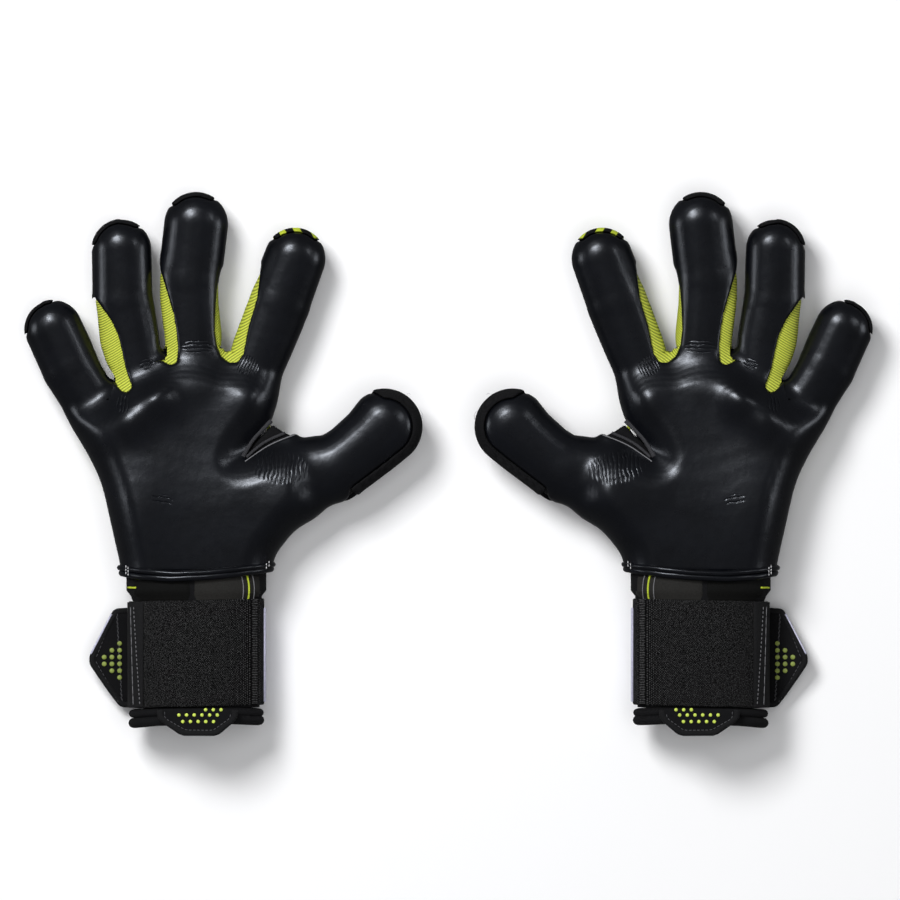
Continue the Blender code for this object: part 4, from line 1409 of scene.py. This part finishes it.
def new_material(name, colour, roughness, **sockets):
    """(tree, shader) of a new Principled material with plain values on its sockets."""
    made = bpy.data.materials.new(name)
    made.use_nodes = True
    MATERIALS[name] = made
    shader = made.node_tree.nodes["Principled BSDF"]
    shader.inputs["Base Color"].default_value = (*colour, 1.0)
    shader.inputs["Roughness"].default_value = roughness
    for socket, value in sockets.items():
        shader.inputs[socket.replace("_", " ")].default_value = value
    return made.node_tree, shader


def plan_node(tree):
    """The plan coordinates in millimetres."""
    attribute = tree.nodes.new("ShaderNodeAttribute")
    attribute.attribute_name = "plan"
    return attribute.outputs["Vector"]


def noise(tree, vector, scale, detail=2.0, roughness=0.5):
    node = tree.nodes.new("ShaderNodeTexNoise")
    node.inputs["Scale"].default_value = scale
    node.inputs["Detail"].default_value = detail
    node.inputs["Roughness"].default_value = roughness
    tree.links.new(vector, node.inputs["Vector"])
    return node.outputs["Fac"]


def maths(tree, operation, *values):
    node = tree.nodes.new("ShaderNodeMath")
    node.operation = operation
    for socket, value in zip(node.inputs, values):
        if isinstance(value, (int, float)):
            socket.default_value = value
        else:
            tree.links.new(value, socket)
    return node.outputs["Value"]


def waves(tree, value, pitch):
    """A sine of a value, from -1 to 1, with this pitch."""
    return maths(tree, "SINE", maths(tree, "MULTIPLY", value, 2 * math.pi / pitch))


def mixed(tree, value, share, other, other_share):
    """A weighted sum of two values."""
    return maths(
        tree, "ADD", maths(tree, "MULTIPLY", value, share), maths(tree, "MULTIPLY", other, other_share)
    )


def shades(colour, *stops):
    """Stops of a ramp as lighter and darker shades of a colour."""
    return [(position, tuple(min(1.0, c * factor) for c in colour)) for position, factor in stops]


def paint(tree, shader, value, stops):
    """Colours a shader by a value. stops are (position, colour)."""
    node = tree.nodes.new("ShaderNodeValToRGB")
    elements = node.color_ramp.elements
    while len(elements) < len(stops):
        elements.new(0.5)
    for element, (position, colour) in zip(elements, stops):
        element.position = position
        element.color = (*colour, 1.0)
    tree.links.new(value, node.inputs["Fac"])
    tree.links.new(node.outputs["Color"], shader.inputs["Base Color"])


def add_bump(tree, shader, height, strength, distance):
    node = tree.nodes.new("ShaderNodeBump")
    node.inputs["Strength"].default_value = strength
    node.inputs["Distance"].default_value = distance * MM
    tree.links.new(height, node.inputs["Height"])
    tree.links.new(node.outputs["Normal"], shader.inputs["Normal"])


def separate(tree, vector):
    node = tree.nodes.new("ShaderNodeSeparateXYZ")
    tree.links.new(vector, node.inputs["Vector"])
    return [node.outputs[axis] for axis in "XYZ"]


def crease_group(tree, centre, turn, pitch, across, along):
    """Fine creases of a pitch round a plan point, fading out at the edge of their patch."""
    mapping = tree.nodes.new("ShaderNodeMapping")
    mapping.vector_type = "TEXTURE"
    mapping.inputs["Location"].default_value = (*centre, 0)
    mapping.inputs["Rotation"].default_value = (0, 0, math.radians(turn))
    tree.links.new(plan_node(tree), mapping.inputs["Vector"])
    local = mapping.outputs["Vector"]
    u, v, _ = separate(tree, local)
    wobble = maths(tree, "MULTIPLY", noise(tree, local, *CREASE_NOISE), CREASE_WOBBLE * pitch)
    wave = waves(tree, maths(tree, "ADD", v, wobble), pitch)
    wave = maths(tree, "POWER", maths(tree, "MULTIPLY_ADD", wave, 0.5, 0.5), CREASE_SHARPNESS)
    offsets = [maths(tree, "ABSOLUTE", maths(tree, "DIVIDE", *pair)) for pair in ((u, across), (v, along))]
    far = maths(tree, "ADD", *(maths(tree, "POWER", offset, 2.0) for offset in offsets))
    node = tree.nodes.new("ShaderNodeMapRange")
    node.interpolation_type = "SMOOTHSTEP"
    for socket, value in zip(("From Min", "From Max", "To Min", "To Max"), CREASE_FADE):
        node.inputs[socket].default_value = value
    tree.links.new(far, node.inputs["Value"])
    return maths(tree, "MULTIPLY", maths(tree, "MULTIPLY", wave, -1.0), node.outputs["Result"])


def latex_material():
    """Smooth satin foam latex: fine grain, slow changes of gloss, and creases where it folds."""
    tree, shader = new_material("latex", LATEX_COLOUR, 0.42, Specular_IOR_Level=0.36)
    plan = plan_node(tree)
    paint(tree, shader, noise(tree, plan, *LATEX_TONE_NOISE), shades(LATEX_COLOUR, (0.3, 0.8), (0.75, 1.35)))
    gloss = maths(tree, "MULTIPLY_ADD", noise(tree, plan, *LATEX_GLOSS_NOISE), *LATEX_GLOSS)
    tree.links.new(gloss, shader.inputs["Roughness"])
    grain = maths(tree, "MULTIPLY", noise(tree, plan, *LATEX_GRAIN_NOISE), LATEX_GRAIN)
    height = maths(tree, "MULTIPLY_ADD", noise(tree, plan, *LATEX_FOLD_NOISE), LATEX_FOLDS, grain)
    for group in CREASES:
        height = maths(tree, "MULTIPLY_ADD", crease_group(tree, *group), CREASE_DEPTH, height)
    add_bump(tree, shader, height, *LATEX_BUMP)


def lime_material():
    """Lime mesh with dark ribs that run slantwise across it."""
    tree, shader = new_material("lime_mesh", (0.55, 0.66, 0.03), 0.75)
    x, y, z = separate(tree, plan_node(tree))
    slant = maths(tree, "MULTIPLY_ADD", x, LIME_SLANT, y)
    slant = maths(tree, "ADD", slant, maths(tree, "MULTIPLY", z, LIME_RISE))
    wave = maths(tree, "MULTIPLY_ADD", waves(tree, slant, LIME_PITCH), 0.5, 0.5)
    shade = mixed(tree, wave, LIME_RIB, noise(tree, plan_node(tree), *LIME_NOISE), LIME_GRIT)
    paint(tree, shader, shade, LIME_STOPS)
    add_bump(tree, shader, shade, *LIME_BUMP)


def weave_material(name, colour, roughness, pitch, depth, speck, lift):
    """A knitted or woven cloth: crossing threads with a little sheen."""
    tree, shader = new_material(name, colour, roughness, Specular_IOR_Level=0.05, Sheen_Weight=0.01)
    x, y, z = separate(tree, plan_node(tree))
    across = waves(tree, maths(tree, "ADD", x, z), pitch)
    along = waves(tree, y, pitch)
    threads = maths(tree, "MULTIPLY_ADD", maths(tree, "MULTIPLY", across, along), 0.5, 0.5)
    shade = mixed(tree, threads, WEAVE_THREADS, noise(tree, plan_node(tree), *CLOTH_NOISE), WEAVE_GRIT)
    stops = shades(colour, (0.25, 0.55), (0.7, lift))
    if speck:
        stops.append((0.86, (speck, speck, speck * 1.02)))
    paint(tree, shader, shade, stops)
    add_bump(tree, shader, shade, WEAVE_BUMP, depth)


def striped_material():
    """The index finger's back: black cloth that ends in slanted lime stripes round the tip."""
    tree, shader = new_material("striped_back", CLOTH_BLACK, 0.8, Specular_IOR_Level=0.05)
    x, y, _ = separate(tree, plan_node(tree))
    wave = waves(tree, maths(tree, "MULTIPLY_ADD", y, STRIPE_SLANT, x), STRIPE_PITCH)
    reach = maths(tree, "MULTIPLY_ADD", y, *STRIPE_FROM)
    stripes = maths(tree, "MULTIPLY_ADD", maths(tree, "MINIMUM", wave, reach), 0.5, 0.5)
    paint(tree, shader, stripes, STRIPE_STOPS)
    add_bump(tree, shader, noise(tree, plan_node(tree), *CLOTH_NOISE), *STRIPE_BUMP)


def rubber_material(name, colour, roughness):
    """Printed rubber or thread: nearly one colour, slightly mottled."""
    tree, shader = new_material(name, colour, roughness)
    mottle = noise(tree, plan_node(tree), *RUBBER_NOISE)
    paint(tree, shader, mottle, shades(colour, (0.3, 0.78), (0.7, 1.1)))
    add_bump(tree, shader, mottle, *RUBBER_BUMP)


def make_materials():
    latex_material()
    lime_material()
    striped_material()
    for row in WEAVES:
        weave_material(*row)
    for row in RUBBERS:
        rubber_material(*row)


def add_floor():
    bpy.ops.mesh.primitive_plane_add(size=FLOOR_SIZE, location=(0, 0, CAD_BOX[0][2] - FLOOR_DROP))
    floor = bpy.context.object
    floor.name = "studio_floor"
    tree, shader = new_material("studio_floor", FLOOR_STOPS[1][1], FLOOR_ROUGHNESS)
    paint(tree, shader, noise(tree, plan_node(tree), 1.0), FLOOR_STOPS)
    floor.data.materials.append(MATERIALS["studio_floor"])
    floor.visible_glossy = False  # black latex would mirror it along every edge


def add_camera():
    camera = bpy.data.objects.new("camera", bpy.data.cameras.new("camera"))
    bpy.context.scene.collection.objects.link(camera)
    camera.data.sensor_width = SENSOR
    camera.data.lens = SENSOR * CAMERA_HEIGHT / VIEW_WIDTH
    camera.data.clip_end = CLIP_END
    camera.location = (*VIEW_CENTRE, CAMERA_HEIGHT)
    bpy.context.scene.camera = camera


def studio():
    """Floor, camera and soft light from the upper left."""
    add_floor()
    add_camera()
    for name, place_at, size, power, in_gloss in LIGHTS:
        light = bpy.data.lights.new(name, "AREA")
        light.size = size
        light.energy = power
        light.color = LIGHT_TINT if in_gloss else (1, 1, 1)
        lamp = bpy.data.objects.new(name, light)
        lamp.location = place_at
        lamp.rotation_euler = (-Vector(place_at)).to_track_quat("-Z", "Y").to_euler()
        lamp.visible_glossy = in_gloss
        lamp.visible_diffuse = not in_gloss
        bpy.context.scene.collection.objects.link(lamp)
    world = bpy.data.worlds.new("studio")
    world.use_nodes = True
    background = world.node_tree.nodes["Background"]
    background.inputs["Color"].default_value = WORLD_COLOUR
    background.inputs["Strength"].default_value = WORLD_STRENGTH
    bpy.context.scene.world = world
    bpy.context.scene.view_settings.view_transform = "Standard"


def main():
    make_materials()
    studio()
    hand = Hand()
    hand_pieces(hand)
    hand_details(hand)
    for side in SIDES:
        wrist_pieces(side)
        strap_details(side)
        tail_piece(side)
        tab_piece(side)
        sleeve_details(side)


main()
